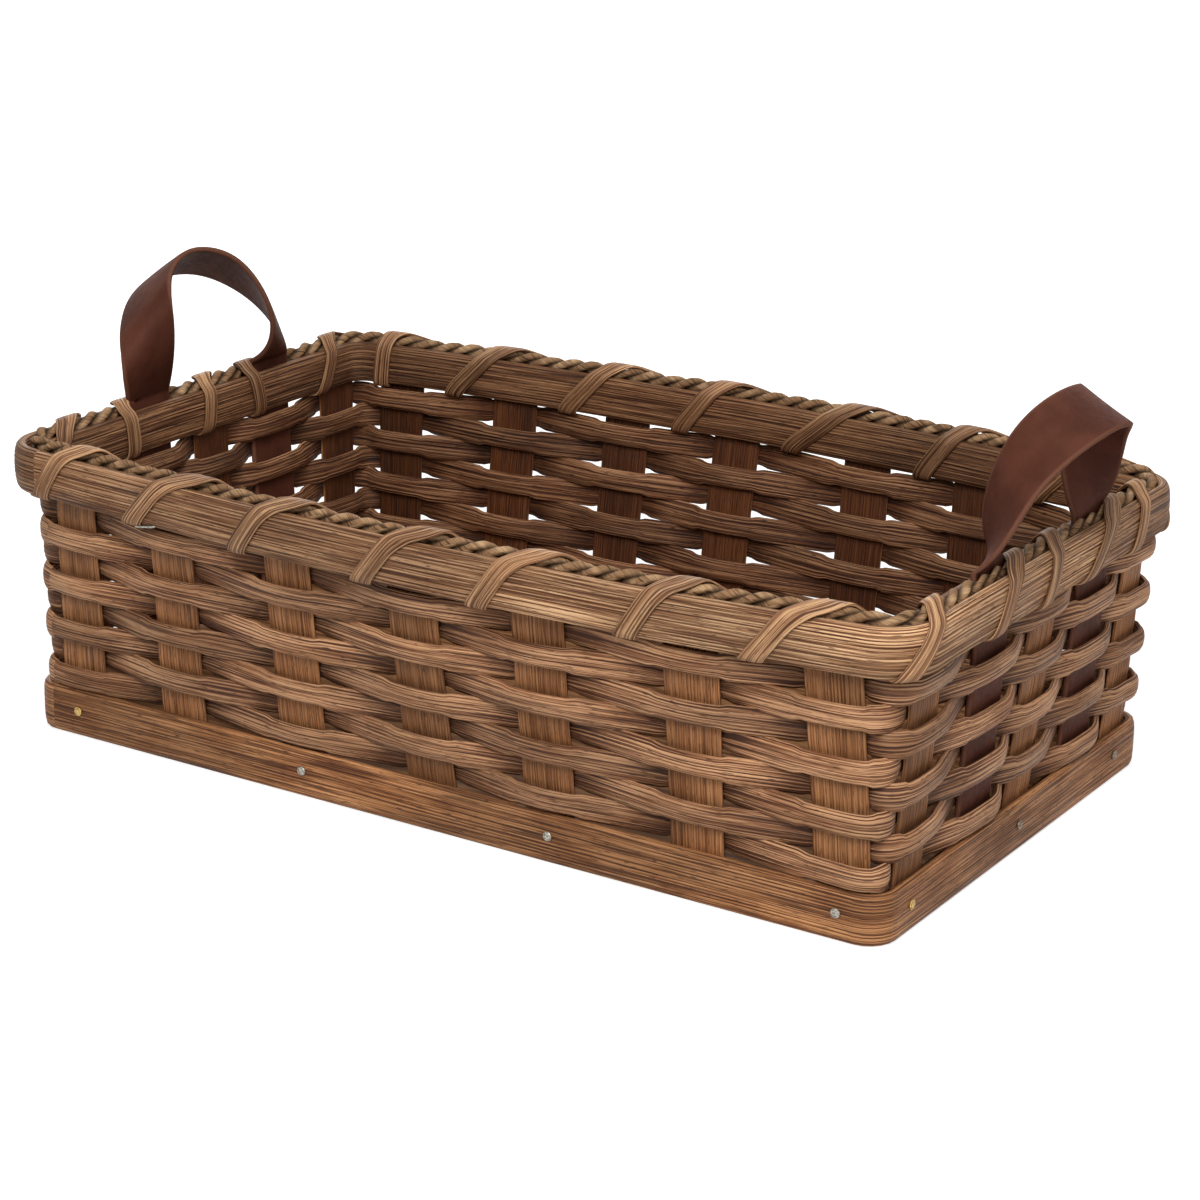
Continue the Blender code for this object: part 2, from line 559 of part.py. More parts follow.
def build():
    clear_scene()
    reed = make_material("stained_reed", (0.225, 0.117, 0.055), 0.55)
    band_reed = make_material("band_reed", (0.250, 0.120, 0.052), 0.50)
    light_reed = make_material("lashing_reed", (0.290, 0.160, 0.085), 0.50)
    seagrass = make_material("seagrass", (0.230, 0.160, 0.085), 0.70)
    leather = make_material("brown_leather", (0.085, 0.032, 0.022), 0.45)
    board_wood = make_material("board_wood", (0.200, 0.105, 0.052), 0.60)
    steel = make_material("nail_steel", (0.480, 0.440, 0.380), 0.35, 1.0)

    uprights = list_uprights()
    cutter = hole_cutter()

    drill(add_object("base_board", board_mesh("base_board"), board_wood), cutter)
    band_outer = BAND_INNER + BAND_THICKNESS
    band_profile = ((BAND_INNER, 0.0), (band_outer, 0.0), (band_outer, BAND_HEIGHT - BAND_CHAMFER),
                    (band_outer - BAND_CHAMFER, BAND_HEIGHT), (BAND_INNER, BAND_HEIGHT))
    drill(add_object("base_band", wall_ring("base_band", band_profile), band_reed), cutter)

    nail = nail_mesh("nail")
    for name, seat, turn in nail_places():
        item = add_object(name, nail, steel)
        item.location = seat
        item.rotation_euler = (0, 0, turn)

    sides = ("front", "right", "back", "left")
    leg_ends = {1: ("front", "back"), 3: ("back", "front")}
    counts = {}
    for upright in uprights:
        key = (upright["side"], upright["kind"])
        counts[key] = counts.get(key, 0) + 1
        side = sides[upright["side"]]
        if upright["kind"] == "stake":
            name = f"stake_{side}_{counts[key]}"
            item = add_object(name, upright_mesh(name, upright, STAKE_TOP), reed)
        else:
            name = f"leather_leg_{side}_{leg_ends[upright['side']][counts[key] - 1]}"
            item = add_object(name, upright_mesh(name, upright, LEG_TOP), leather)
        if has_nail(upright):
            drill(item, cutter)

    for row in range(1, WEAVER_ROWS + 1):
        name = f"weaver_{row}"
        add_object(name, weaver_mesh(name, row, uprights), reed)

    row_outer = RIM_INNER_FACE - FIT_GAP
    row_inner = row_outer - RIM_ROW_THICKNESS
    row_profile = ((row_inner, RIM_BOTTOM), (row_outer, RIM_BOTTOM), (row_outer, STAKE_TOP),
                   (row_inner, STAKE_TOP))
    add_object("rim_row", wall_ring("rim_row", row_profile), reed)
    shoulder = RIM_OUTER_FACE - RIM_ROUNDING
    outer_profile = ((RIM_INNER_FACE, RIM_BOTTOM), (shoulder, RIM_BOTTOM),
                     (RIM_OUTER_FACE, RIM_BOTTOM + RIM_ROUNDING_HEIGHT),
                     (RIM_OUTER_FACE, RIM_TOP - RIM_ROUNDING_HEIGHT), (shoulder, RIM_TOP),
                     (RIM_INNER_FACE, RIM_TOP))
    add_object("rim_outer", wall_ring("rim_outer", outer_profile), reed)
    inner_shoulder = INNER_RIM_FRONT + RIM_ROUNDING
    inner_profile = ((INNER_RIM_BACK, RIM_BOTTOM), (INNER_RIM_BACK, INNER_RIM_TOP),
                     (inner_shoulder, INNER_RIM_TOP),
                     (INNER_RIM_FRONT, INNER_RIM_TOP - RIM_ROUNDING_HEIGHT),
                     (INNER_RIM_FRONT, RIM_BOTTOM + RIM_ROUNDING_HEIGHT), (inner_shoulder, RIM_BOTTOM))
    add_object("rim_inner", wall_ring("rim_inner", inner_profile), reed)
    add_object("rim_filler", filler_mesh("rim_filler", uprights), seagrass)
    add_object("rim_lashing", lashing_mesh("rim_lashing", uprights), light_reed)

    for name, stations, side in (("handle_right", RIGHT_LOOP, 1), ("handle_left", LEFT_LOOP, -1)):
        item = add_object(name, loop_mesh(name, stations, side), leather)
        item.location = (side * HEAD_HALF_LENGTH, 0, HINGE_LEVEL)


build()
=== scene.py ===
# Bread roll basket: fine shapes and finishes over the fixed frame. Metres, +Z up, long sides along X.
# Rings go counter-clockwise seen from above and start at the left end of the front side.
import math

import bpy
import numpy as np
from mathutils import Matrix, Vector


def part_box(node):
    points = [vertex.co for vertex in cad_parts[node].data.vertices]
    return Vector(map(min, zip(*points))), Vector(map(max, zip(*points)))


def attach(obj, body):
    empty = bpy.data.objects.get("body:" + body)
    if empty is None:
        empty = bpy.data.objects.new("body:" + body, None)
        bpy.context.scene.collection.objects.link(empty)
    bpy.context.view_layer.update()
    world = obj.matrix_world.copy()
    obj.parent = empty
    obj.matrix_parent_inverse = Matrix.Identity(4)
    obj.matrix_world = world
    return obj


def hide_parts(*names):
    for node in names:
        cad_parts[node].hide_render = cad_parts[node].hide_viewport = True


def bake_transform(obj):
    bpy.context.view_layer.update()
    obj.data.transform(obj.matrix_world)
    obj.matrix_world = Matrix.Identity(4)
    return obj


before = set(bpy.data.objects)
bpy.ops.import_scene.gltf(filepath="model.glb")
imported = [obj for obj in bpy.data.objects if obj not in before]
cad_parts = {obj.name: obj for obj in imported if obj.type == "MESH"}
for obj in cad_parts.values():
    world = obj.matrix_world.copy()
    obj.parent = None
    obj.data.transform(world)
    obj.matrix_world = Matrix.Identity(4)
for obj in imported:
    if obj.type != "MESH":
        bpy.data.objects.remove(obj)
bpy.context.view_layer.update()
print("frame loaded")


def unit(vectors):
    return vectors / np.linalg.norm(vectors, axis=-1, keepdims=True)


# On a closed line, the way from the point before each point to the one after it
def neighbourSpan(points):
    return np.roll(points, -1, axis=0) - np.roll(points, 1, axis=0)


# Distance travelled along a line of points, from 0 at its first
def travelAlong(points):
    return np.concatenate([[0], np.cumsum(np.linalg.norm(np.diff(points, axis=0), axis=1))])


# A line's points at given places, by straight blending between the places of its own points
def pointsAt(wanted, places, points):
    return np.stack([np.interp(wanted, places, column) for column in points.T], 1)


# Soft step from 0 at low to 1 at high: three times the share's square less twice its cube
def softStep(values, low, high):
    share = np.clip((values - low) / (high - low), 0, 1)
    return share * share * (3 - 2 * share)


# Running mean of a line's points under a bell-shaped window of so many points
def smoothed(points, window, closed=False):
    bell = np.hanning(window + 2)[1:-1]
    padded = np.pad(points, [(window, window), (0, 0)], mode="wrap" if closed else "edge")
    columns = [np.convolve(column, bell / bell.sum(), "same")[window:-window] for column in padded.T]
    return np.stack(columns, 1)


# A table that starts again after its end, at places between its rows, by straight blending
def blendedRows(table, place):
    near = np.floor(place).astype(int)
    share = (place - near)[..., None]
    return table[near % len(table)] * (1 - share) + table[(near + 1) % len(table)] * share


def addObject(name, data):
    item = bpy.data.objects.new(name, data)
    bpy.context.scene.collection.objects.link(item)
    return item


# Camera at the photograph's view: the lens is the focal length in pixels turned into millimetres
cameraView = {
    "azimuth": 32.43, "elevation": 18.64, "roll": 0.82, "eye": (0.61855, -0.96269, 0.44439),
    "focalPixels": 3119.16, "imagePixels": 1200, "sensorWidth": 36.0,
}


def addCamera(view):
    azimuth, elevation, roll = (math.radians(view[key]) for key in ("azimuth", "elevation", "roll"))
    turn = (Matrix.Rotation(azimuth, 4, "Z") @ Matrix.Rotation(math.pi / 2 - elevation, 4, "X")
            @ Matrix.Rotation(roll, 4, "Z"))
    camera = addObject("photoCamera", bpy.data.cameras.new("photoCamera"))
    camera.data.sensor_width = view["sensorWidth"]
    camera.data.lens = view["focalPixels"] * view["sensorWidth"] / view["imagePixels"]
    camera.matrix_world = Matrix.Translation(view["eye"]) @ turn
    bpy.context.scene.camera = camera


addCamera(cameraView)
print("camera placed")


def nodeBox(node):
    low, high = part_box(node)
    return np.array(low), np.array(high)


bandHigh = nodeBox("base_band")[1]
rimLow, rimHigh = nodeBox("rim_outer")
innerLow, innerHigh = nodeBox("rim_inner")

# The wall's middle surface: a rounded rectangle with bowed long sides that grows from foot to rim
wall = {
    "bandOffset": 0.0014, "bandThickness": 0.004, "rimOffset": 0.0043, "rimThickness": 0.0049,
    "footRadius": 0.006, "rimRadius": 0.012, "rimEndWidth": 0.2266,
    "levels": 9, "stations": 2400, "sideSteps": 240, "cornerSteps": 60,
}
bandOuter = wall["bandOffset"] + wall["bandThickness"]
rimOuter = wall["rimOffset"] + wall["rimThickness"]
footTop, rimBottom, rimTop = bandHigh[2], rimLow[2], rimHigh[2]
footHalf = (bandHigh - bandOuter)[:2]
rimHalf = np.array([rimHigh[0] - rimOuter, wall["rimEndWidth"] / 2 - rimOuter])
sideBow = rimHigh[1] - rimOuter - rimHalf[1]


# One level of the wall, in even steps: straight ends, quarter-circle corners, long sides along a parabola
def wallLevel(rise):
    half = footHalf + (rimHalf - footHalf) * rise
    radius = wall["footRadius"] + (wall["rimRadius"] - wall["footRadius"]) * rise
    across = np.linspace(-1, 1, wall["sideSteps"] + 1)
    turn = np.linspace(0, math.pi / 2, wall["cornerSteps"] + 1)
    front = np.stack([across * (half[0] - radius), -half[1] - sideBow * rise * (1 - across ** 2)], 1)
    right = np.stack([np.full_like(across, half[0]), across * (half[1] - radius)], 1)
    arc = radius * np.stack([np.sin(turn), -np.cos(turn)], 1)
    nextArc = np.stack([-arc[:, 1], arc[:, 0]], 1)
    start = np.array([half[0] - radius, half[1] - radius])
    loop = np.concatenate([front, (arc + start * (1, -1))[1:], right[1:], (nextArc + start)[1:]])
    loop = np.concatenate([loop, -loop[1:]])
    travel = travelAlong(loop)
    points = pointsAt(np.arange(wall["stations"]) / wall["stations"] * travel[-1], travel, loop)
    along = neighbourSpan(points)
    normals = unit(np.stack([along[:, 1], -along[:, 0]], 1))
    middles = travel[wall["sideSteps"] // 2 + (wall["sideSteps"] + wall["cornerSteps"]) * np.arange(4)]
    return np.concatenate([points, normals], 1), travel[-1], middles


wallRises = np.linspace(0, 1, wall["levels"])
wallTable, wallLengths, wallMiddles = (np.array(part) for part in zip(*map(wallLevel, wallRises)))
rimLength = wallLengths[-1]


def riseAt(z):
    return np.clip((z - footTop) / (rimBottom - footTop), 0, 1)


# A point of the wall from its turn (0 to 1 round the basket), height and offset outward, by straight
# blending between stations and levels
def onWall(turn, z, offset):
    turn, z, offset = np.broadcast_arrays(turn, z, offset)
    level = riseAt(z) * (wall["levels"] - 1)
    low = np.minimum(level.astype(int), wall["levels"] - 2)
    share = (level - low)[..., None]
    step = np.mod(turn, 1) * wall["stations"]
    near = np.floor(step).astype(int) % wall["stations"]
    far = (near + 1) % wall["stations"]
    part = (step - np.floor(step))[..., None]
    lower, upper = (wallTable[row, near] * (1 - part) + wallTable[row, far] * part for row in (low, low + 1))
    place, normal = np.split(lower * (1 - share) + upper * share, 2, axis=-1)
    return np.concatenate([place + unit(normal) * offset[..., None], z[..., None]], -1)


# Where each upright's middle stands at the foot and at the rim, from its side's middle on in the direction
# of the turn. Legs of the straps stand between the stakes of the ends.
uprightPlan = {
    "front": ((-0.1651, -0.1647), (-0.1154, -0.113), (-0.0575, -0.0553), (0.001, 0.0013),
              (0.0527, 0.0543), (0.1139, 0.1141), (0.1711, 0.1658)),
    "right": ((-0.082, -0.0836), (0.0035, 0.0085), (0.0885, 0.089)),
    "back": ((-0.168, -0.168), (-0.1117, -0.1117), (-0.061, -0.061), (0.001, 0.001),
             (0.0535, 0.0535), (0.1085, 0.1085), (0.1645, 0.1645)),
    "left": ((-0.0865, -0.089), (-0.004, -0.004), (0.077, 0.077)),
    "rightLegs": ((-0.033, -0.0355), (0.051, 0.0485)), "leftLegs": ((-0.0431, -0.0431), (0.0342, 0.0342)),
    "stakeWidth": 0.0212, "stakeThickness": 0.0016, "strapWidth": 0.0254, "strapThickness": 0.0022,
}
sideNames = ("front", "right", "back", "left")
# Each handle loop, from its root nearest the front to its root nearest the back: the middle of the strap
# (X beyond the wall, Y, height over the hinge), then the way to its outer edge, in half strap widths
rightLoop = ((0.0, -0.0401, 0.0, 0.0, -1.0, 0.0), (0.0019, -0.0394, 0.0154, 0.73, -0.69, -0.05),
             (0.0074, -0.0328, 0.0343, 0.82, -0.47, -0.33), (0.0144, -0.0191, 0.0461, 0.9, -0.23, -0.37),
             (0.0172, -0.0003, 0.0491, 0.91, -0.1, -0.37), (0.0135, 0.0187, 0.0452, 0.82, 0.02, -0.46),
             (0.0042, 0.0336, 0.0361, 0.82, 0.34, -0.52), (-0.001, 0.0413, 0.0198, 0.65, 0.73, -0.39),
             (0.0, 0.0408, 0.0, 0.0, 1.0, 0.0))
leftLoop = ((0.0, -0.0342, 0.0, 0.0, -1.0, 0.0), (-0.0064, -0.0396, 0.0161, 0.33, -0.83, -0.74),
            (-0.0055, -0.0397, 0.0304, 0.38, -0.81, -0.87), (0.0038, -0.0277, 0.0389, 0.57, -0.56, -0.73),
            (0.0097, -0.0103, 0.0456, 0.81, -0.08, -0.61), (0.0064, 0.0099, 0.046, 0.72, 0.5, -0.59),
            (-0.0035, 0.0271, 0.035, 0.53, 0.84, -0.81), (-0.0096, 0.0373, 0.0156, 0.61, 1.0, -0.61),
            (0.0, 0.0431, 0.0, 0.0, 1.0, 0.0))


def listUprights(plan):
    roots = {"right": (rightLoop[0][1], rightLoop[-1][1]), "left": (-leftLoop[-1][1], -leftLoop[0][1])}
    found = []
    for side, name in enumerate(sideNames):
        places = [("stake", foot, rim, rim) for foot, rim in plan[name]]
        legs = zip(plan.get(name + "Legs", ()), roots.get(name, ()))
        places += [("strap", *leg, root) for leg, root in legs]
        beside = [{"kind": kind, "side": side, "foot": foot, "rim": rim, "root": root,
                   "width": plan[kind + "Width"], "thickness": plan[kind + "Thickness"],
                   "node": f"{kind}_{name}_{order + 1}"}
                  for order, (kind, foot, rim, root) in enumerate(places)]
        found += sorted(beside, key=lambda upright: upright["rim"])
    return found


uprights = listUprights(uprightPlan)


def wallLengthAt(z):
    return np.interp(riseAt(z), wallRises, wallLengths)


# The turn of an upright's middle at height z
def uprightTurn(upright, z):
    rise = riseAt(z)
    middle = np.interp(rise, wallRises, wallMiddles[:, upright["side"]])
    return (middle + upright["foot"] + (upright["rim"] - upright["foot"]) * rise) / wallLengthAt(z)


# Mesh from a grid of points, rows along the piece and columns round it, with a UV map in metres. An open
# grid is capped with one face at each end, and an inside-out one is turned.
def gridMesh(points, uv, closedAlong, masks=None):
    rows, columns = points.shape[:2]
    here, beside = np.indices((rows if closedAlong else rows - 1, columns))
    ways = ((0, 0), (1, 0), (1, 1), (0, 1))
    quads = np.stack([(here + on) % rows * columns + (beside + over) % columns for on, over in ways], -1)
    corners = np.stack([uv[here + on, beside + over] for on, over in ways], 2).reshape(-1, 4, 2)
    quads = quads.reshape(-1, 4)
    flat = points.reshape(-1, 3)
    a, b, c, d = (flat[quads[:, corner]] - flat.mean(0) for corner in range(4))
    inward = (np.cross(a, b) * c).sum() + (np.cross(a, c) * d).sum() < 0
    if inward:
        quads, corners = quads[:, ::-1], corners[:, ::-1]
    faces, loops = quads.tolist(), corners.reshape(-1, 2)
    if not closedAlong:
        first = np.arange(columns)
        for end, row, turned in ((first, uv[0], inward), (first + (rows - 1) * columns, uv[-1], not inward)):
            order = -1 if turned else 1
            faces.append(end[::order].tolist())
            loops = np.concatenate([loops, row[:columns][::order]])
    mesh = bpy.data.meshes.new("grid")
    mesh.from_pydata(flat.tolist(), [], faces)
    mesh.uv_layers.new(name="grain").data.foreach_set("uv", loops.astype(np.float32).ravel())
    for mask, values in (masks or {}).items():
        values = np.broadcast_to(values, (rows, columns)).astype(np.float32).ravel()
        mesh.attributes.new(mask, "FLOAT", "POINT").data.foreach_set("value", values)
    mesh.shade_smooth()
    mesh.update()
    return mesh


def addPiece(name, mesh, material, slot, *replaced, body="basket"):
    piece = addObject(name, mesh)
    mesh.name = name
    mesh.materials.append(material)
    if body:
        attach(piece, body)
    if replaced:
        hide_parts(*replaced)
    return piece


# Superellipse of half width a and half thickness b: |x/a|^n + |y/b|^n = 1, where the upper half may have
# another power and share of the points than the lower one. Returns across, thick and the distance round it.
def reedProfile(width, thickness, reed):
    angle, count = np.linspace(0, 2 * math.pi, 721), reed["points"]
    n = np.where(np.sin(angle) >= 0, reed["power"], reed.get("backPower", reed["power"]))
    across = width / 2 * np.sign(np.cos(angle)) * np.abs(np.cos(angle)) ** (2 / n)
    thick = thickness / 2 * np.sign(np.sin(angle)) * np.abs(np.sin(angle)) ** (2 / n)
    travel = travelAlong(np.stack([across, thick], 1))
    upper = round(count * reed.get("upperShare", 0.5))
    even = np.concatenate([np.linspace(0, travel[360], upper, endpoint=False),
                           np.linspace(travel[360], travel[-1], count - upper + 1)])
    return np.interp(even, travel, across)[:-1], np.interp(even, travel, thick)[:-1], even


# Outward normals of a closed profile: its neighbour spans, turned by a right angle
def profileNormals(across, upward):
    normals = unit(np.stack([neighbourSpan(upward), -neighbourSpan(across)], 1)).T
    centre = np.stack([across - across.mean(), upward - upward.mean()])
    return normals * np.sign((normals * centre).sum())


# UV map of a grid: distance along the piece against distance round it, moved to its own place in the grain
def grainMap(along, round_, order):
    return np.stack(np.meshgrid(along + order * 1.37, round_ + order * 0.173, indexing="ij"), -1)


# Smooth wobble: a sum of sine waves of unlike wavelengths, with seeded phases
def wobble(distance, wavelengths, seed):
    phases = np.random.default_rng(seed).uniform(0, 2 * math.pi, len(wavelengths))
    waves = [np.sin(2 * math.pi * distance / length + phase) for length, phase in zip(wavelengths, phases)]
    return sum(waves) / len(wavelengths)


# Lengthwise ridges between narrow grooves, from 0 in a groove to 1 on a ridge: the square root of a sine's
# size over the distance round the profile. Places and spacing drift along the reed, in whole waves. The
# ridges fade out at the seam of the UV map. Returned with how far the surface sinks between them.
flutes = {"bend": 0.8, "bendSpacings": 4.3, "drift": 0.4, "driftLength": (0.1, 0.2), "seam": 0.0008}


def fluting(round_, along, length, grooves, seed):
    generator = np.random.default_rng(seed)
    across, girth = round_[None, :-1], round_[-1]
    total = 0
    for spacing in grooves["spacings"]:
        phase, drift, bend = generator.uniform(0, 2 * math.pi, 3)
        waves = round(length / generator.uniform(*flutes["driftLength"]))
        bend = flutes["bend"] * np.sin(2 * math.pi * across / spacing / flutes["bendSpacings"] + bend)
        drift = flutes["drift"] * np.sin(2 * math.pi * waves * along[:, None] / length + drift)
        total = total + np.sqrt(np.abs(np.sin(math.pi * across / spacing + phase + bend + drift)))
    seam = np.clip(np.minimum(across, girth - across) / flutes["seam"], 0, 1)
    ridge = 1 + (total / len(grooves["spacings"]) - 1) * seam
    return ridge, grooves["depth"] * (ridge - 1)


# Cubic between two keys of a curve, from the values and second slopes at both
def cubicBetween(values, bends, low, high, share, gap=1.0):
    left = 1 - share
    return (left * values[low] + share * values[high]
            + ((left ** 3 - left) * bends[low] + (share ** 3 - share) * bends[high]) * gap ** 2 / 6)


# Periodic cubic curve through keys at unlike distances: solves for the second slopes at the keys
def closedCurve(keys, values, period, at):
    gaps = np.diff(np.append(keys, keys[0] + period))
    slopes = (np.roll(values, -1) - values) / gaps
    order = np.arange(len(keys))
    matrix = np.diag(2 * (gaps + np.roll(gaps, 1)))
    matrix[order, np.roll(order, -1)] += gaps
    matrix[order, np.roll(order, 1)] += np.roll(gaps, 1)
    bends = np.linalg.solve(matrix, 6 * (slopes - np.roll(slopes, 1)))
    where = np.mod(at - keys[0], period) + keys[0]
    low = np.clip(np.searchsorted(keys, where, side="right") - 1, 0, len(keys) - 1)
    share = (where - keys[low]) / gaps[low]
    return cubicBetween(values, bends, low, (low + 1) % len(keys), share, gaps[low])


# Cubic curve through even stations with free ends, where the second slope goes on in a straight line
def openCurve(stations, count):
    rows = np.array(stations)
    size = len(rows)
    inner = np.arange(1, size - 1)
    matrix = np.zeros((size, size))
    matrix[inner, inner - 1], matrix[inner, inner], matrix[inner, inner + 1] = 1, 4, 1
    matrix[0, :3], matrix[-1, -3:] = (1, -2, 1), (1, -2, 1)
    target = np.zeros_like(rows)
    target[inner] = 6 * (rows[inner - 1] - 2 * rows[inner] + rows[inner + 1])
    place = np.linspace(0, size - 1, count)
    low = np.minimum(place.astype(int), size - 2)
    return cubicBetween(rows, np.linalg.solve(matrix, target), low, low + 1, (place - low)[:, None])


# Puts numbers, colours or other nodes' outputs into a node's inputs
def feed(node, values):
    for key, value in values.items():
        socket = node.inputs[key]
        if isinstance(value, bpy.types.NodeSocket):
            node.id_data.links.new(value, socket)
        else:
            socket.default_value = (*value, 1.0) if socket.type == "RGBA" else value


def newNode(tree, kind, inputs=None, **settings):
    node = tree.nodes.new(kind)
    for key, value in settings.items():
        setattr(node, key, value)
    feed(node, inputs or {})
    return node


# The next nodes stand in the tree of the first node output among their values
def treeOf(values):
    return next(value.id_data for value in values if isinstance(value, bpy.types.NodeSocket))


def mathNode(operation, *values, clamp=False):
    return newNode(treeOf(values), "ShaderNodeMath", dict(enumerate(values)), operation=operation,
                   use_clamp=clamp).outputs[0]


def mixColours(share, first, second, blend="MIX"):
    inputs = {0: share, 6: first, 7: second}
    return newNode(treeOf(inputs.values()), "ShaderNodeMix", inputs, data_type="RGBA",
                   blend_type=blend).outputs[2]


def tinted(colour, tint):
    return mixColours(1.0, colour, tint, "MULTIPLY")


def mapRange(value, *limits):
    inputs = dict(enumerate((value, *limits)))
    return newNode(value.id_data, "ShaderNodeMapRange", inputs, interpolation_type="SMOOTHSTEP").outputs[0]


def stretchedNoise(vector, along, across, detail=2.0, shift=0.0):
    inputs = {"Vector": vector, "Scale": (along, across, across), "Location": (shift, shift * 1.7, 0)}
    mapped = newNode(vector.id_data, "ShaderNodeMapping", inputs).outputs[0]
    inputs = {"Vector": mapped, "Scale": 1.0, "Detail": detail}
    return newNode(vector.id_data, "ShaderNodeTexNoise", inputs).outputs["Fac"]


def greyOf(value):
    inputs = dict(enumerate((value, value, value)))
    return newNode(value.id_data, "ShaderNodeCombineColor", inputs).outputs[0]


def ownMap(tree):
    return newNode(tree, "ShaderNodeUVMap", uv_map="grain").outputs[0]


def objectPlace(tree):
    return newNode(tree, "ShaderNodeTexCoord").outputs["Object"]


def maskOf(tree, name):
    return newNode(tree, "ShaderNodeAttribute", attribute_name=name).outputs["Fac"]


# Fine ribs 1.2 mm apart across V: the root of a sine's size, its phase moved a little by a slow noise
def fineRibs(vector, drift):
    across = newNode(vector.id_data, "ShaderNodeSeparateXYZ", {0: vector}).outputs["Y"]
    phase = mathNode("MULTIPLY_ADD", across, 2618.0, mathNode("MULTIPLY", drift, 5.0))
    return mathNode("POWER", mathNode("ABSOLUTE", mathNode("SINE", phase)), 0.5)


# Noises of the grain: scale along and across the reed, detail and shift. Then how much each part weighs in
# the grain's light, and the light's start, which levels the ridges and ribs out.
grainNoises = {"bands": (7, 760, 2.0, 0.0), "fibres": (14, 1500, 2.0, 3.1), "fine": (26, 2500, 2.0, 7.7),
               "cracks": (30, 1700, 2.0, 11.3), "pores": (170, 2300, 1.0, 15.1),
               "blotches": (30, 90, 3.0, 5.9), "drift": (7, 30, 1.0, 9.3)}
grainWeights = {"bands": 0.19, "fibres": 0.45, "fine": 0.36, "ridge": 0.12, "ribs": 0.07}
grainStart = -0.139
# Tints of cracks and pores, of stain blotches, and of the painted shade
grainTints = {"mark": (0.6, 0.6, 0.6), "stain": (0.5, 0.38, 0.3), "shade": (0.3, 0.22, 0.17)}
grainSockets = (("INPUT", {"Vector": "Vector", "Ridge": "Float", "Shade": "Float", "Dark": "Color",
                           "Middle": "Color", "Pale": "Color", "Pores": "Float", "Stain": "Float"}),
                ("OUTPUT", {"Colour": "Color", "Shine": "Float", "Height": "Float"}))


# Stained reed grain, along U in metres: fibre lines, thin pale fibre lines with painted glints, long cracks,
# short pores and stain blotches, each a noise stretched along the reed, and a slow drift of tone. The light
# runs through a dark, a middle and a pale colour. The piece's own ridges raise it, cracks and pores darken
# it, and
# Shade paints shade over the whole, taking it towards a dark shade tint.
def buildReedGrain():
    tree = bpy.data.node_groups.new("reedGrain", "ShaderNodeTree")
    for direction, sockets in grainSockets:
        for name, kind in sockets.items():
            tree.interface.new_socket(name=name, in_out=direction, socket_type="NodeSocket" + kind)
    given = newNode(tree, "NodeGroupInput").outputs
    dark, middle, pale = given["Dark"], given["Middle"], given["Pale"]
    parts = {name: stretchedNoise(given["Vector"], *noise) for name, noise in grainNoises.items()}
    parts |= {"ridge": given["Ridge"], "ribs": fineRibs(given["Vector"], parts["drift"])}
    light = grainStart
    for name, weight in grainWeights.items():
        light = mathNode("MULTIPLY_ADD", parts[name], weight, light)
    colour = mixColours(mapRange(light, 0.43, 0.5), dark, middle)
    colour = mixColours(mapRange(light, 0.5, 0.565), colour, pale)
    # Thin pale lines along the fibres, partly pale fibre and partly painted glints
    colour = mixColours(mapRange(parts["fine"], 0.56, 0.65, 0.0, 0.75), colour, pale)
    marks = mathNode("MAXIMUM", mapRange(parts["cracks"], 0.57, 0.64, 0.0, 0.8),
                     mapRange(parts["pores"], 0.63, 0.7))
    marks = mathNode("MULTIPLY", marks, given["Pores"], clamp=True)
    colour = mixColours(marks, colour, tinted(dark, grainTints["mark"]))
    stain = mathNode("MULTIPLY", mapRange(parts["blotches"], 0.46, 0.66), given["Stain"])
    colour = mixColours(stain, colour, tinted(colour, grainTints["stain"]))
    colour = tinted(colour, greyOf(mapRange(parts["drift"], 0.36, 0.64, 0.76, 1.18)))
    # Painted shade: the Shade mask takes the colour towards the shade tint
    colour = mixColours(given["Shade"], colour, tinted(colour, grainTints["shade"]))
    relief = mathNode("ADD", mapRange(light, 0.4, 0.6), parts["ribs"])
    relief = mathNode("MULTIPLY_ADD", marks, -0.9, relief)
    shine = mapRange(mathNode("ADD", parts["blotches"], parts["fine"]), 0.75, 1.25)
    newNode(tree, "NodeGroupOutput", {"Colour": colour, "Shine": shine, "Height": relief})
    return tree


reedGrain = buildReedGrain()

# Finishes of the reed pieces: the grain's three colours, how strong pores and stain are, bump and roughness
finishParts = ("dark", "middle", "pale", "pores", "stain", "bump", "rough")
reedFinishes = {name: dict(zip(finishParts, values)) for name, *values in (
    ("rimReed", (0.115, 0.043, 0.017), (0.35, 0.168, 0.076), (0.72, 0.44, 0.24),
     0.85, 0.35, 0.55, (0.5, 0.68)),
    # The inner rim and the rim row take a darker reed than the outer rim: painted shade inside the basket
    ("innerReed", (0.04, 0.014, 0.006), (0.152, 0.063, 0.026), (0.31, 0.158, 0.076),
     0.75, 0.5, 0.5, (0.5, 0.68)),
    ("weaverReed", (0.066, 0.023, 0.01), (0.248, 0.104, 0.046), (0.56, 0.305, 0.158),
     0.85, 0.55, 0.5, (0.48, 0.66)),
    ("stakeReed", (0.18, 0.067, 0.024), (0.325, 0.133, 0.049), (0.43, 0.2, 0.083),
     0.95, 0.35, 0.5, (0.5, 0.68)),
    ("bandReed", (0.094, 0.033, 0.012), (0.29, 0.119, 0.042), (0.54, 0.26, 0.11),
     0.9, 0.6, 0.45, (0.48, 0.66)),
    ("lashingReed", (0.1, 0.038, 0.016), (0.3, 0.142, 0.065), (0.58, 0.345, 0.18),
     0.65, 0.25, 0.5, (0.5, 0.66)))}
reedSurface = {"sheen": 0.22, "relief": 0.0004}
plainRidge = 0.75


def newMaterial(name):
    material = bpy.data.materials.new(name)
    material.use_nodes = True
    return material, material.node_tree, material.node_tree.nodes["Principled BSDF"]


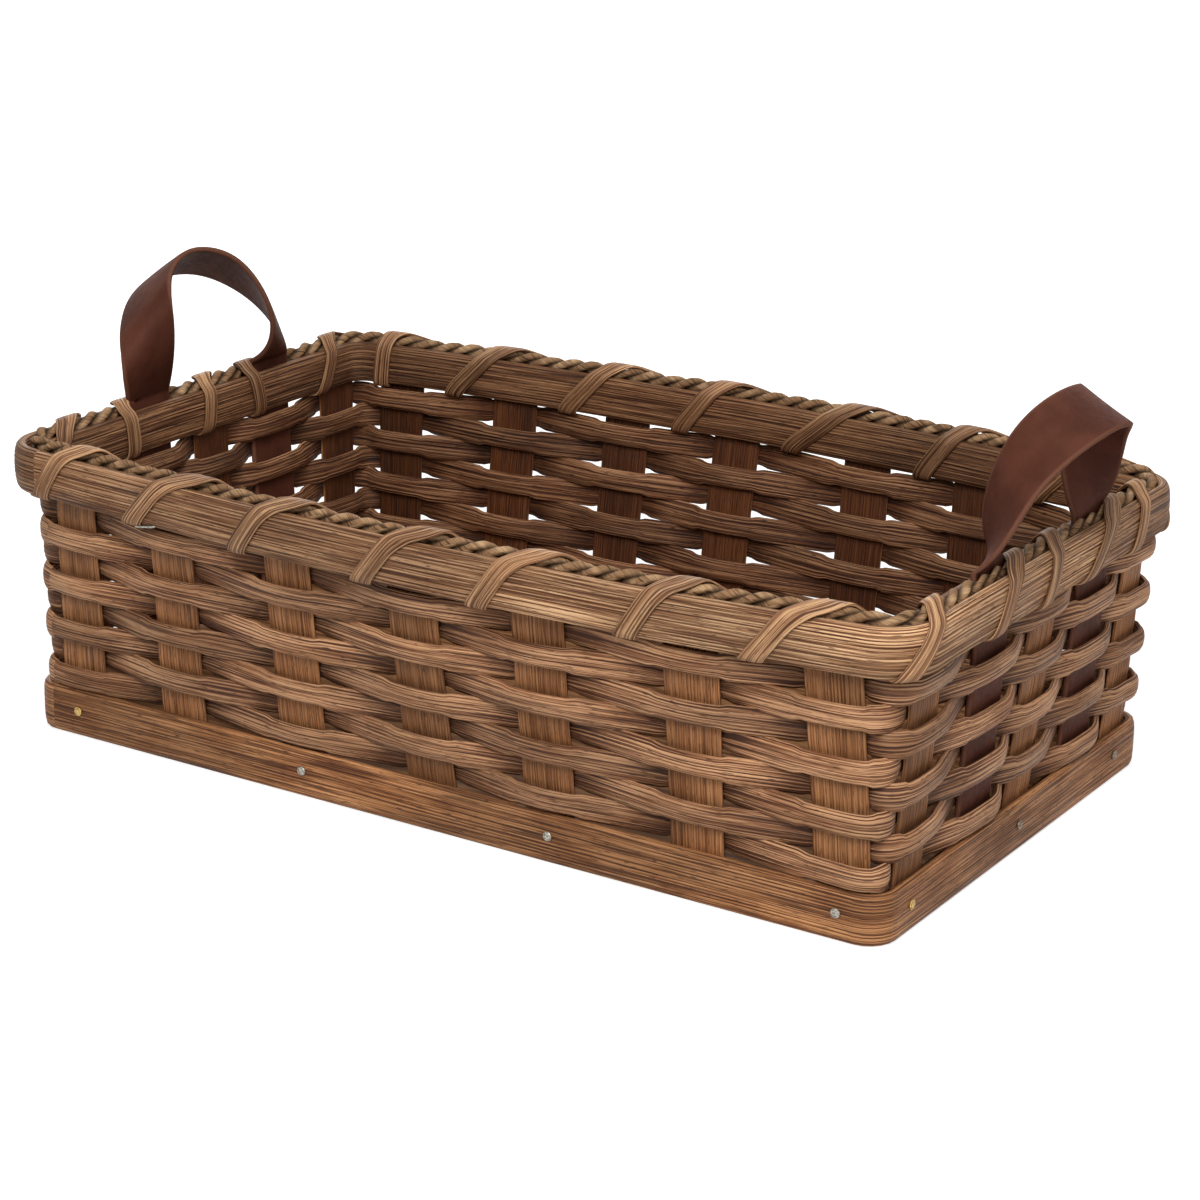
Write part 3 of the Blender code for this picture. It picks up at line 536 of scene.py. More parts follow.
# Colour, roughness and sheen of a surface, and its height as a bump of the finish's relief in metres
def setSurface(shader, finish, colour, rough, height):
    inputs = {"Strength": finish["bump"], "Distance": finish["relief"], "Height": height}
    normal = newNode(height.id_data, "ShaderNodeBump", inputs).outputs[0]
    feed(shader, {"Base Color": colour, "Roughness": rough, "Specular IOR Level": finish["sheen"],
                        "Normal": normal})


# A piece of the frame has no map and masks of its own, and takes the grain from its place instead
def reedMaterial(name, finish, mapped=True):
    material, tree, shader = newMaterial(name)
    inputs = {socket: finish[socket.lower()] for socket in ("Dark", "Middle", "Pale", "Pores", "Stain")}
    inputs["Vector"] = ownMap(tree) if mapped else objectPlace(tree)
    inputs["Ridge"] = maskOf(tree, "ridge") if mapped else plainRidge
    if mapped:
        inputs["Shade"] = maskOf(tree, "shade")
    grain = newNode(tree, "ShaderNodeGroup", inputs, node_tree=reedGrain).outputs
    low, high = finish["rough"]
    rough = mathNode("MULTIPLY_ADD", grain["Shine"], high - low, low)
    setSurface(shader, finish | reedSurface, grain["Colour"], rough, grain["Height"])
    return material


# Leather: a dark red-brown with soft cloudy tone, a fine pebbled grain in the bump, and paler cut edges
leatherFinish = {"deep": (0.066, 0.02, 0.011), "body": (0.096, 0.031, 0.018), "edge": (0.15, 0.062, 0.038),
                 "rough": (0.54, 0.66), "sheen": 0.08, "pebble": 900, "bump": 0.5, "relief": 0.0003}


def leatherMaterial(finish):
    material, tree, shader = newMaterial("strapLeather")
    source = ownMap(tree)
    clouds = stretchedNoise(source, 60, 60, 3.0)
    wear = stretchedNoise(source, 420, 420, 2.0, 4.0)
    edge = maskOf(tree, "cutEdge")
    colour = mixColours(mapRange(clouds, 0.35, 0.65), finish["deep"], finish["body"])
    colour = mixColours(edge, colour, finish["edge"])
    rough = mathNode("MULTIPLY_ADD", edge, 0.2, mapRange(wear, 0.3, 0.7, *finish["rough"]))
    pebbles = newNode(tree, "ShaderNodeTexVoronoi", {"Vector": source, "Scale": finish["pebble"]},
                      feature="DISTANCE_TO_EDGE").outputs["Distance"]
    setSurface(shader, finish, colour, rough, mathNode("MINIMUM", pebbles, 0.25))
    return material


# Seagrass: khaki and straw blades laid side by side and twisted, so the grain runs slantwise over a strand
grassFinish = {"seam": (0.022, 0.011, 0.005), "shade": (0.07, 0.036, 0.016), "khaki": (0.29, 0.16, 0.08),
               "straw": (0.5, 0.315, 0.17), "rough": 0.7, "sheen": 0.12, "bump": 0.5, "relief": 0.0006}


def grassMaterial(finish):
    material, tree, shader = newMaterial("twistedSeagrass")
    source = ownMap(tree)
    blades = stretchedNoise(source, 45, 900, 2.0)
    fibres = stretchedNoise(source, 90, 3200, 2.0, 2.3)
    patches = stretchedNoise(source, 70, 120, 2.0, 8.1)
    colour = mixColours(mapRange(blades, 0.33, 0.5), finish["shade"], finish["khaki"])
    colour = mixColours(mapRange(patches, 0.45, 0.7), colour, finish["straw"])
    colour = tinted(colour, greyOf(mapRange(fibres, 0.36, 0.64, 0.62, 1.25)))
    # Painted shade in the seams where the strands press together
    colour = mixColours(mathNode("MULTIPLY", maskOf(tree, "seam"), 0.85), colour, finish["seam"])
    height = mathNode("MULTIPLY_ADD", fibres, 0.5, blades)
    setSurface(shader, finish, colour, finish["rough"], height)
    return material


# Nail metal with fine tarnish: roughness and tone follow a small noise in object space
nailFinishes = {"steelHead": {"bright": (0.4, 0.38, 0.33), "dull": (0.17, 0.145, 0.115)},
                "darkHead": {"bright": (0.2, 0.165, 0.125), "dull": (0.095, 0.07, 0.05)},
                "brassHead": {"bright": (0.6, 0.42, 0.15), "dull": (0.26, 0.15, 0.055)}}


def nailMaterial(name, finish):
    material, tree, shader = newMaterial(name)
    tarnish = mapRange(stretchedNoise(objectPlace(tree), 1400, 1400, 3.0), 0.4, 0.68)
    feed(shader, {"Base Color": mixColours(tarnish, finish["bright"], finish["dull"]),
                        "Roughness": mapRange(tarnish, 0.0, 1.0, 0.3, 0.55), "Metallic": 1.0})
    return material


# Board wood: grain lines along X in object space, over soft growth bands
boardFinish = {"early": (0.285, 0.14, 0.06), "late": (0.14, 0.06, 0.023), "line": (0.68, 0.62, 0.56),
               "pore": (0.05, 0.024, 0.012), "rings": 14.0, "rough": (0.62, 0.74), "sheen": 0.08,
               "bump": 0.25, "relief": 0.0004}


def boardMaterial(finish):
    material, tree, shader = newMaterial("boardWood")
    source = objectPlace(tree)
    rings = stretchedNoise(source, 2.6, 30, 2.0)
    lines = stretchedNoise(source, 14, 900, 3.0, 1.3)
    pores = mapRange(stretchedNoise(source, 60, 1400, 1.0, 6.0), 0.62, 0.7)
    waves = mathNode("FRACT", mathNode("MULTIPLY", rings, finish["rings"]))
    bands = mapRange(mathNode("ABSOLUTE", mathNode("SUBTRACT", waves, 0.5)), 0.05, 0.45)
    colour = mixColours(bands, finish["late"], finish["early"])
    dimmed = tinted(colour, finish["line"])
    colour = mixColours(mapRange(lines, 0.35, 0.65), dimmed, colour)
    colour = mixColours(pores, colour, finish["pore"])
    rough = mapRange(lines, 0.3, 0.7, *finish["rough"])
    setSurface(shader, finish, colour, rough, mathNode("SUBTRACT", lines, pores))
    return material


reeds = {name: reedMaterial(name, finish) for name, finish in reedFinishes.items()}
leather = leatherMaterial(leatherFinish)
grass = grassMaterial(grassFinish)
nailMetals = {name: nailMaterial(name, finish) for name, finish in nailFinishes.items()}
print("materials ready")


# Board and rim row keep their shapes and take their finish
def dressNode(node, material):
    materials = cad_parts[node].data.materials
    materials.clear()
    materials.append(material)


dressNode("base_board", boardMaterial(boardFinish))

# Foot band and rims: half-round reeds standing on their edges
ringPieces = {
    "foot_band": {
        "inner": wall["bandOffset"], "outer": bandOuter, "low": 0.0, "high": footTop,
        "power": 4.0, "backPower": 9.0, "points": 96, "upperShare": 0.78, "steps": 620,
        "material": "bandReed", "slot": "band_reed", "node": "base_band", "seed": 3,
        "grooves": {"depth": 0.00014, "spacings": (0.0023, 0.0014), "face": 1, "wave": 0.0}},
    "outer_rim": {
        "inner": wall["rimOffset"], "outer": rimOuter, "low": rimBottom, "high": rimTop,
        "power": 2.5, "backPower": 9.0, "points": 124, "upperShare": 0.78, "steps": 700,
        "material": "rimReed", "slot": "stained_reed", "node": "rim_outer", "seed": 5,
        "grooves": {"depth": 0.00034, "spacings": (0.0016, 0.0012), "face": 1, "wave": 0.0003},
        "overlap": {"lift": 0.0016, "length": 0.012},
        # Painted shade on the outer rim, deeper away from its front right corner, which the lamps light most
        "stain": {"amount": 0.51, "corner": (0.198, -0.113), "reach": (0.115, 0.19)}},
    "inner_rim": {
        "inner": -0.0059, "outer": -0.0014, "low": innerLow[2], "high": innerHigh[2],
        "power": 9.0, "backPower": 2.5, "points": 108, "upperShare": 0.22, "steps": 700,
        "material": "innerReed", "slot": "stained_reed", "node": "rim_inner", "seed": 8,
        "grooves": {"depth": 0.0003, "spacings": (0.0017, 0.0012), "face": -1, "wave": 0.0003}},
}
ringRelief = {"grooveReach": 0.35, "waves": (0.31, 0.17, 0.083)}


def ringProfile(ring):
    across, thick, round_ = reedProfile(ring["high"] - ring["low"], ring["outer"] - ring["inner"], ring)
    return (ring["inner"] + ring["outer"]) / 2 + thick, (ring["low"] + ring["high"]) / 2 + across, round_


# A smooth hump round the front left corner, where the rim's ends lie over each other: a bell curve of the
# distance from the corner's middle
def overlapLift(along, overlap):
    fromCorner = np.mod(along + wall["rimRadius"] * math.pi / 4 + rimLength / 2, rimLength) - rimLength / 2
    return overlap["lift"] * np.exp(-(fromCorner / overlap["length"]) ** 2)[:, None]


# A profile in offset and height carried round the wall. Grooves sink in along its own normal and fade
# towards its flat back. Shade may be painted on it, deeper away from one well-lit corner.
def reedRing(ring):
    offsets, levels, round_ = ringProfile(ring)
    grooves, seed = ring["grooves"], ring["seed"]
    turn = np.arange(ring["steps"]) / ring["steps"]
    along = turn * rimLength
    outward, upward = profileNormals(offsets, levels)
    ridge, groove = fluting(round_, along, rimLength, grooves, seed)
    groove = groove * np.clip(outward * grooves["face"] + ringRelief["grooveReach"], 0, 1)
    offset = offsets + outward * groove
    if "overlap" in ring:
        offset = offset + overlapLift(along, ring["overlap"])
    wave = grooves["wave"] * wobble(along, ringRelief["waves"], seed)[:, None]
    points = onWall(turn[:, None], levels + upward * groove + wave, offset)
    masks = {"ridge": ridge, "shade": 0.0}
    # Painted shade, growing with the distance from the well-lit corner
    if "stain" in ring:
        away = np.linalg.norm(points[:, :1, :2] - ring["stain"]["corner"], axis=-1)
        masks["shade"] = ring["stain"]["amount"] * softStep(away, *ring["stain"]["reach"])
    return gridMesh(points, grainMap(np.append(along, rimLength), round_, seed), True, masks)


for name, ring in ringPieces.items():
    addPiece(name, reedRing(ring), reeds[ring["material"]], ring["slot"], ring["node"])
dressNode("rim_row", reedMaterial("rimRowReed", reedFinishes["innerReed"], mapped=False))
print("foot band and rims made")

# Flat stakes, woven rows
stakeReed = {"low": 0.0003, "top": rimTop - 0.003, "points": 96, "rows": 60, "power": 7.0, "flex": 0.00015,
             "wave": 0.00025, "grooves": {"depth": 0.0001, "spacings": (0.0016, 0.0011)}}
weaverReed = {
    "rows": 8, "height": 0.0087, "thickness": 0.0037, "points": 56, "steps": 860, "power": 2.2,
    "backPower": 2.5, "gap": 0.0001, "bulge": 0.0008, "clearance": 0.0003, "lift": 0.0002,
    "rimClearance": 0.0019, "spread": 0.21, "ripple": 0.02, "closesAt": (0.0027, 0.0021),
    "ownLift": 0.00018, "paintedBulgeShading": 0.3, "grooves": {"depth": 0.00022, "spacings": (0.0017, 0.0012)},
}
# How much shade is painted on faces inside the basket, and where a row runs behind an upright
paintedShade = {"weaver": 0.59, "stake": 1.0, "recess": 0.8, "lashing": 0.44}
rowsTop = rimBottom - weaverReed["rimClearance"]
rowPitch = (rowsTop - footTop - weaverReed["clearance"]) / weaverReed["rows"]


# A flat stake: a thin rounded rectangle carried up the wall, flexed a little between the rows
def stakeMesh(upright, order):
    across, thick, round_ = reedProfile(upright["width"], upright["thickness"], stakeReed)
    levels = np.linspace(stakeReed["low"], stakeReed["top"], stakeReed["rows"])
    row = (rowsTop - levels) / rowPitch - 0.5
    inside = 1 if order % 2 == 0 else -1
    flex = stakeReed["flex"] * inside * np.cos(math.pi * row) * (levels > footTop)
    wave = stakeReed["wave"] * wobble(levels, (0.09, 0.05), order)
    shift = (across + wave[:, None]) / wallLengthAt(levels)[:, None]
    ridge, groove = fluting(round_, levels, stakeReed["top"], stakeReed["grooves"], order)
    points = onWall(uprightTurn(upright, levels)[:, None] + shift, levels[:, None],
                    thick + groove * np.sign(thick) + flex[:, None])
    # Painted shade on the stake's inner face
    return gridMesh(points, grainMap(levels, round_, order), False,
                    {"ridge": ridge, "shade": paintedShade["stake"] * (thick < 0)})


# Keys of a row's middle line at height z: outside one upright and inside the next, at its edges and middle,
# and on the wall's own line between two sides
def weaverKeys(row, z, length):
    reed, keys, reaches = weaverReed, [], []
    for order, upright in enumerate(uprights):
        outward = 1 if (order + row) % 2 == 0 else -1
        reach = upright["thickness"] / 2 + reed["gap"] + reed["thickness"] / 2
        middle, half = float(uprightTurn(upright, z)) * length, upright["width"] / 2
        keys += [middle - half, middle, middle + half]
        reaches += [outward * reach, outward * (reach + reed["bulge"]), outward * reach]
        following = uprights[(order + 1) % len(uprights)]
        if following["side"] != upright["side"]:
            ahead = float(uprightTurn(following, z)) * length - following["width"] / 2
            keys.append((middle + half + ahead + (length if following is uprights[0] else 0)) / 2)
            reaches.append(0.0)
    return np.array(keys), np.array(reaches)


# A woven row: a profile square to a closed cubic curve through the keys, a little wider between the
# uprights, where the rows press on each other. It has painted highlight where it bulges out, and painted
# shade where it runs behind an upright and on its inner face.
def weaverMesh(row):
    reed = weaverReed
    z = rowsTop - (row - 0.5) * rowPitch
    length = float(wallLengthAt(z))
    turn = np.arange(reed["steps"]) / reed["steps"]
    along = turn * length
    offset = closedCurve(*weaverKeys(row, z, length), length, along)
    waves = length / 7, length / 12, length / 19
    level = z + reed["lift"] * wobble(along, waves, 40) + reed["ownLift"] * wobble(along, waves, 40 + row)
    centre = onWall(turn, level, offset)
    forward = unit(neighbourSpan(centre))
    upward = onWall(turn, level + 0.002, offset) - onWall(turn, level - 0.002, offset)
    upward = unit(upward - (upward * forward).sum(1)[:, None] * forward)
    outwards = np.cross(forward, upward)
    across, thick, round_ = reedProfile(reed["height"], reed["thickness"], reed)
    face, side = profileNormals(thick, across)
    ridge, groove = fluting(round_, along, length, reed["grooves"], 60 + row)
    groove = groove * np.clip(np.abs(face) + 0.3, 0, 1)
    outer = (offset / np.abs(offset).max())[:, None]
    # Painted shade on the row's inner face, and on either face where that face lies recessed behind the
    # uprights
    shade = (paintedShade["weaver"] * np.clip(-face, 0, 1)
             + paintedShade["recess"] * np.clip(-face * outer, 0, 1))
    between = softStep(np.abs(offset), *reed["closesAt"])
    ripple = reed["ripple"] * wobble(along, (length / 5, length / 9), 80 + row)
    width = (1 + reed["spread"] * between + ripple)[:, None]
    points = (centre[:, None] + upward[:, None] * (across * width + side * groove)[..., None]
              + outwards[:, None] * (thick + face * groove)[..., None])
    # Painted highlight on the outer face where the row bulges out, painted shade where it runs behind an
    # upright
    return gridMesh(points, grainMap(np.append(along, length), round_, 20 + row), True,
                    {"ridge": ridge + reed["paintedBulgeShading"] * outer * np.clip(face, 0, 1), "shade": shade})


for order, upright in enumerate(uprights):
    if upright["kind"] == "stake":
        addPiece("reed_" + upright["node"], stakeMesh(upright, order), reeds["stakeReed"], "stained_reed",
                 upright["node"])
for row in range(1, weaverReed["rows"] + 1):
    addPiece(f"woven_row_{row}", weaverMesh(row), reeds["weaverReed"], "stained_reed", f"weaver_{row}")
print("stakes and woven rows made")

# Seagrass rope: two strands, each a round with soft ridges on a helix about the rope's line, squeezed flat
# where a strap passes
rope = {"level": rimTop + 0.0003, "diameter": 0.0054, "squeezed": 0.0026, "fromRim": 0.0003,
        "pitch": 0.0195, "orbit": 0.0013, "strandRadius": 0.00178, "points": 24, "steps": 1500,
        "squeezeMargin": 0.0008, "squeezeTaper": 0.0075, "stray": 0.0004, "slant": 0.9,
        "swell": (0.93, 0.1, 0.07), "blades": 2.5, "seam": (0.5, 0.32)}
ropeReach = rope["orbit"] + rope["strandRadius"]


def ropeMiddle(squeeze):
    return wall["rimOffset"] - rope["fromRim"] - rope["diameter"] / 2 * squeeze


def ropeSqueeze(along):
    marks, shares = [], []
    narrow = rope["squeezed"] / rope["diameter"]
    for upright in uprights:
        if upright["kind"] == "strap":
            middle = wallMiddles[-1, upright["side"]] + upright["root"]
            near = upright["width"] / 2 + rope["squeezeMargin"]
            far = near + rope["squeezeTaper"]
            marks += [middle - far, middle - near, middle + near, middle + far]
            shares += [1, narrow, narrow, 1]
    return np.interp(along, marks, shares)


def strandMesh(strand):
    turn = np.arange(rope["steps"]) / rope["steps"]
    along = turn * rimLength
    squeeze = ropeSqueeze(along)
    angle = 2 * math.pi * (turn * round(rimLength / rope["pitch"]) + strand / 2)
    stray = rope["stray"] * wobble(along, (rimLength / 23, rimLength / 41), 5)
    middleOut = ropeMiddle(squeeze) + rope["orbit"] * np.cos(angle) * squeeze
    middleUp = rope["level"] + rope["orbit"] * np.sin(angle) + stray
    round_ = np.linspace(0, 2 * math.pi, rope["points"] + 1)
    blades = np.abs(np.sin(rope["blades"] * round_[None, :-1] + angle[:, None] * 2))
    swell = wobble(along, (rimLength / 97, rimLength / 61, rimLength / 37), 7 + strand)
    plain, bladed, uneven = rope["swell"]
    radius = rope["strandRadius"] * (plain + bladed * blades + uneven * swell[:, None])
    out = middleOut[:, None] + radius * np.cos(round_[:-1]) * squeeze[:, None]
    up = middleUp[:, None] + radius * np.sin(round_[:-1])
    uv = grainMap(np.append(along, rimLength), round_ * rope["strandRadius"], 31 + strand)
    uv[..., 1] += (uv[..., 0] - uv[0, 0, 0]) * rope["slant"]
    # Seam: painted shade on the part of each strand nearest the rope's line, where the strands meet
    fromLine = np.hypot((out - ropeMiddle(squeeze)[:, None]) / squeeze[:, None],
                        up - rope["level"] - stray[:, None])
    seam = 1 - np.clip((fromLine / ropeReach - rope["seam"][0]) / rope["seam"][1], 0, 1)
    return gridMesh(onWall(turn[:, None], up, out), uv, True, {"seam": seam})


for strand in range(2):
    replaced = ("rim_filler",) if strand == 0 else ()
    addPiece(f"seagrass_strand_{strand + 1}", strandMesh(strand), grass, "seagrass", *replaced)
print("seagrass rope made")

# Rim lashing: a strip that winds on the convex outline of rims and rope. Each wrap climbs the outer rim's
# face steeply from its low place, then leans over along the rope to its high place, both measured like the
# uprights'. Where no places are given, the upright's middle gives them.
lashing = {"width": 0.0074, "thickness": 0.0013, "gap": 0.0002,
           "front": ((-0.1737, -0.1529), (-0.1258, -0.092), (-0.0727, -0.0461), (-0.0151, 0.0142),
                     (0.0339, 0.0598), (0.0926, 0.116), (0.1391, 0.1675)),
           "right": ((-0.1008, -0.0865), (-0.0462, -0.0323), (-0.0106, 0.0053), (0.026, 0.0475),
                     (0.0666, 0.0795)),
           "aroundMiddle": (-0.021, 0.005), "faceShare": 0.52, "stakeMargin": 0.005, "strapMargin": 0.005,
           "strapReach": 0.014, "points": 34, "upperShare": 0.7, "stepsPerWrap": 100, "power": 3.4,
           "backPower": 6.0, "tail": 0.25, "footLevel": 0.0006, "shadeOver": (-0.001, 0.004),
           "outlinePoints": 400, "soften": 15, "softenPath": 23,
           "grooves": {"depth": 0.00024, "spacings": (0.0017, 0.0012)}}


# Convex outline of a set of points: the lower and the upper chain, without the points that turn inward
def convexOutline(points):
    points = points[np.lexsort((points[:, 1], points[:, 0]))]
    chains = []
    for ordered in (points, points[::-1]):
        chain = []
        for point in ordered:
            while len(chain) > 1 and turnsRight(chain[-2], chain[-1], point):
                chain.pop()
            chain.append(point)
        chains += chain[:-1]
    return np.array(chains)


def turnsRight(first, second, third):
    (stepX, stepY), (farX, farY) = second - first, third - first
    return stepX * farY - stepY * farX <= 0


# The bundle's outline in offset and height, at even steps from under the outer rim, up its face, over the
# rope and down inside, with its outward normals and its girth
def bundleOutline():
    rims = [np.stack(ringProfile(ringPieces[name])[:2], 1) for name in ("outer_rim", "inner_rim")]
    angle = np.linspace(0, 2 * math.pi, 60)
    around = ropeReach * np.stack([np.cos(angle), np.sin(angle)], 1) + (ropeMiddle(1), rope["level"])
    hull = convexOutline(np.concatenate([*rims, around]))
    hull = np.roll(hull, -np.argmax(hull[:, 0] - 4 * hull[:, 1]), axis=0)
    closed = np.concatenate([hull, hull[:1]])
    travel = travelAlong(closed)
    even = np.arange(lashing["outlinePoints"]) / lashing["outlinePoints"] * travel[-1]
    outline = smoothed(pointsAt(even, travel, closed), lashing["soften"], closed=True)
    return outline, profileNormals(*outline.T).T, travel[-1]


# Where each wrap passes under the rims, over the outer rim's upper edge and over the rope, clear of the
# upright it crosses, which stands in its way under the rims, or as a strap above them
def lashingPlaces(underShare):
    places = []
    for side, name in enumerate(sideNames):
        beside = [upright for upright in uprights if upright["side"] == side]
        for order, upright in enumerate(beside):
            low, high = lashing[name][order] if name in lashing else np.add(lashing["aroundMiddle"],
                                                                            upright["root"])
            slant = (high - low) * lashing["faceShare"]
            half = upright["width"] / 2
            if upright["kind"] == "strap":
                high = max(high, upright["root"] + half + lashing["strapMargin"])
                slant = max(slant, high - low - lashing["strapReach"])
            start = min(low - slant * underShare, upright["rim"] - half - lashing["stakeMargin"])
            places.append(wallMiddles[-1, side] + np.array([start, low + slant, high]))
    return np.array(places).T


# The strip's middle runs through the wraps' places in a smooth curve. Its width is divided by how much
# longer a step along the rim is at the strip's offset, so that it stays even round the corners.
def lashingMesh():
    outline, normals, girth = bundleOutline()
    size, wraps = len(outline), np.arange(len(uprights))
    crest = np.argmax(outline[:, 1]) / size
    bottom = outline[:, 1].min() + lashing["footLevel"]
    foot = np.nonzero((outline[:, 1] < bottom) & (np.arange(size) > crest * size))[0][0] / size
    top = np.argmax(outline[:, 1] > rimTop) / size
    under = 1 - foot
    starts, edges, crests = lashingPlaces(under / 2 / top)
    nextStarts = np.append(starts[1:], starts[0] + rimLength)
    keys = np.stack([wraps - under / 2, wraps + top, wraps + crest, wraps + foot], 1).ravel()
    places = np.stack([starts, edges, crests, nextStarts - 0.002], 1).ravel()
    winding = np.linspace(-under * lashing["tail"], len(wraps) - under * (1 - lashing["tail"]),
                          len(wraps) * lashing["stepsPerWrap"])
    place = np.interp(winding, np.append(keys, len(wraps) - under / 2), np.append(places, nextStarts[-1]))
    place = smoothed(place[:, None], lashing["softenPath"])[:, 0]
    alongWall, alongGirth = np.gradient(place), np.gradient(winding * girth)
    length = np.hypot(alongWall, alongGirth)
    across, thick, round_ = reedProfile(lashing["width"], lashing["thickness"], lashing)
    middle = np.mod(winding * size, size).astype(int) % size
    before, after = (onWall((place + step) / rimLength, outline[middle, 1], outline[middle, 0])
                     for step in (-0.001, 0.001))
    stretch = np.linalg.norm(after - before, axis=1) / 0.002
    distance = place[:, None] + across * (alongGirth / length / stretch)[:, None]
    step = (winding[:, None] - across * (alongWall / length)[:, None] / girth) * size
    spot, normal = blendedRows(outline, step), blendedRows(normals, step)
    travel = np.concatenate([[0], np.cumsum(length[1:])])
    ridge, groove = fluting(round_, travel, travel[-1], lashing["grooves"], 90)
    lift = lashing["gap"] + lashing["thickness"] / 2 + thick + groove * (thick > 0)
    points = onWall(distance / rimLength, spot[..., 1] + normal[..., 1] * lift,
                    spot[..., 0] + normal[..., 0] * lift)
    # Painted shade on the parts of the strip that lie inside the rims
    start, reach = lashing["shadeOver"]
    shade = paintedShade["lashing"] * np.clip((start - spot[..., 0]) / reach, 0, 1)
    return gridMesh(points, grainMap(travel, round_, 50), False, {"ridge": ridge, "shade": shade})


addPiece("wound_lashing", lashingMesh(), reeds["lashingReed"], "lashing_reed", "rim_lashing")
print("rim lashing made")

# Leather straps: one strip from the foot of one leg, over the loop, to the foot of the other.
# Under the rims a leg sways from its place in the wall to its loop's root.
strap = {"points": 48, "power": 9.0, "legRows": 70, "loopRows": 170, "bend": 0.006, "cup": 0.0003,
         "cupHeight": 0.02, "edge": (0.0009, 0.0004), "sway": (0.086, 0.1145)}
hingeLevel = nodeBox("leather_leg_right_front")[1][2] + 0.0003 + uprightPlan["strapThickness"] / 2


def strapMesh(loop, side):
    curve = openCurve(loop, strap["loopRows"])
    arch = curve[:, :3] * (side, 1, 1) + (side * rimHalf[0], 0, hingeLevel)
    levels = np.linspace(stakeReed["low"], hingeLevel, strap["legRows"])[:-1]
    rise = riseAt(levels)
    legX = side * (footHalf[0] + (rimHalf[0] - footHalf[0]) * rise)
    plan = uprightPlan["rightLegs"] if side > 0 else uprightPlan["leftLegs"][::-1]
    legs = []
    for (foot, rim), root in zip(plan, (loop[0][1], loop[-1][1])):
        lower = side * (foot + (rim - foot) * rise)
        legs.append(np.stack([legX, lower + (root - lower) * softStep(levels, *strap["sway"]), levels], 1))
    centre = np.concatenate([legs[0], arch, legs[1][::-1]])
    legWidth = np.tile((0.0, 1.0, 0.0), (len(levels), 1))
    width = np.concatenate([-legWidth, curve[:, 3:] * (side, 1, 1), legWidth])
    face = unit(np.cross(unit(np.gradient(centre, axis=0)), width))
    half = uprightPlan["strapWidth"] / 2
    across, thick, round_ = reedProfile(half * 2, uprightPlan["strapThickness"], strap)
    height = np.clip((centre[:, 2] - hingeLevel) / strap["cupHeight"], 0, 1)[:, None]
    cup = strap["cup"] * height * (1 - (across / half) ** 2)
    points = (centre[:, None] + width[:, None] * across[:, None]
              + face[:, None] * (thick + cup)[..., None])
    edge = np.clip((np.abs(across) - half + strap["edge"][0]) / strap["edge"][1], 0, 1)
    return gridMesh(points, grainMap(travelAlong(centre), round_, 70 + side), False, {"cutEdge": edge})


for sideName, loop, side in (("right", rightLoop, 1), ("left", leftLoop, -1)):
    piece = addPiece(f"leather_strap_{sideName}", strapMesh(loop, side), leather, "brown_leather",
                     f"handle_{sideName}", f"leather_leg_{sideName}_front", f"leather_leg_{sideName}_back",
                     body=None)
    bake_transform(piece)
print("leather straps made")

# Nails: a low domed head turned about its axis, with the shank behind it, set where the frame's nails are
nailShape = {"headRadius": 0.00185, "headHeight": 0.0009, "shankRadius": 0.0008, "shank": 0.015, "sides": 28,
             "flat": 0.07, "domeSteps": 8}
nailAxes = {"front": (0, -1, 0), "right": (1, 0, 0), "back": (0, 1, 0), "left": (-1, 0, 0)}
nailKinds = {"nail_front_1": "brassHead", "nail_right_1": "brassHead",
             "nail_right_2": "darkHead", "nail_right_3": "darkHead"}


# A round of so many sides about a line's point, in the plane of two square directions
def roundOf(sides, first, second):
    angle = np.linspace(0, 2 * math.pi, sides + 1)
    return angle, np.cos(angle)[:-1, None] * first + np.sin(angle)[:-1, None] * second


# Turned profile: the dome is a quarter ellipse from the head's rim to a small flat at its middle
def nailMesh(seat, axis):
    rise = np.linspace(0, math.pi / 2 * (1 - nailShape["flat"]), nailShape["domeSteps"])
    head, thin, length = nailShape["headRadius"], nailShape["shankRadius"], nailShape["shank"]
    radii = np.concatenate([[thin * 0.3, thin, thin, head * 0.97], head * np.cos(rise)])
    depths = np.concatenate([[-length, -length + 0.002, 0, 0],
                             nailShape["headHeight"] * (0.25 + 0.75 * np.sin(rise))])
    angle, circle = roundOf(nailShape["sides"], np.cross(axis, (0, 0, 1.0)), np.array((0, 0, 1.0)))
    points = seat + depths[:, None, None] * axis + radii[:, None, None] * circle
    return gridMesh(points, grainMap(np.arange(len(radii)) * 0.001, angle * head, 0), False)


for node in sorted(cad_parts):
    if node.startswith("nail_"):
        low, high = nodeBox(node)
        axis = np.array(nailAxes[node.split("_")[1]], float)
        seat = (low + high) / 2 + axis * (np.abs((high - low) @ axis) / 2 - nailShape["headHeight"])
        metal = nailMetals[nailKinds.get(node, "steelHead")]
        addPiece(node.replace("nail", "tack"), nailMesh(seat, axis), metal, "nail_steel", node)
print("nails made")

# Wire staple at the lower edge of the outer rim: a bent wire whose crown lies on the face and whose legs go
# into the reed. The crown's two ends have their places like the uprights', then their heights.
staple = {"radius": 0.00055, "depth": 0.004, "crown": 0.004, "sides": 16, "steps": 61, "soften": 9,
          "side": "front", "ends": ((-0.1228, 0.0962), (-0.1132, 0.098))}


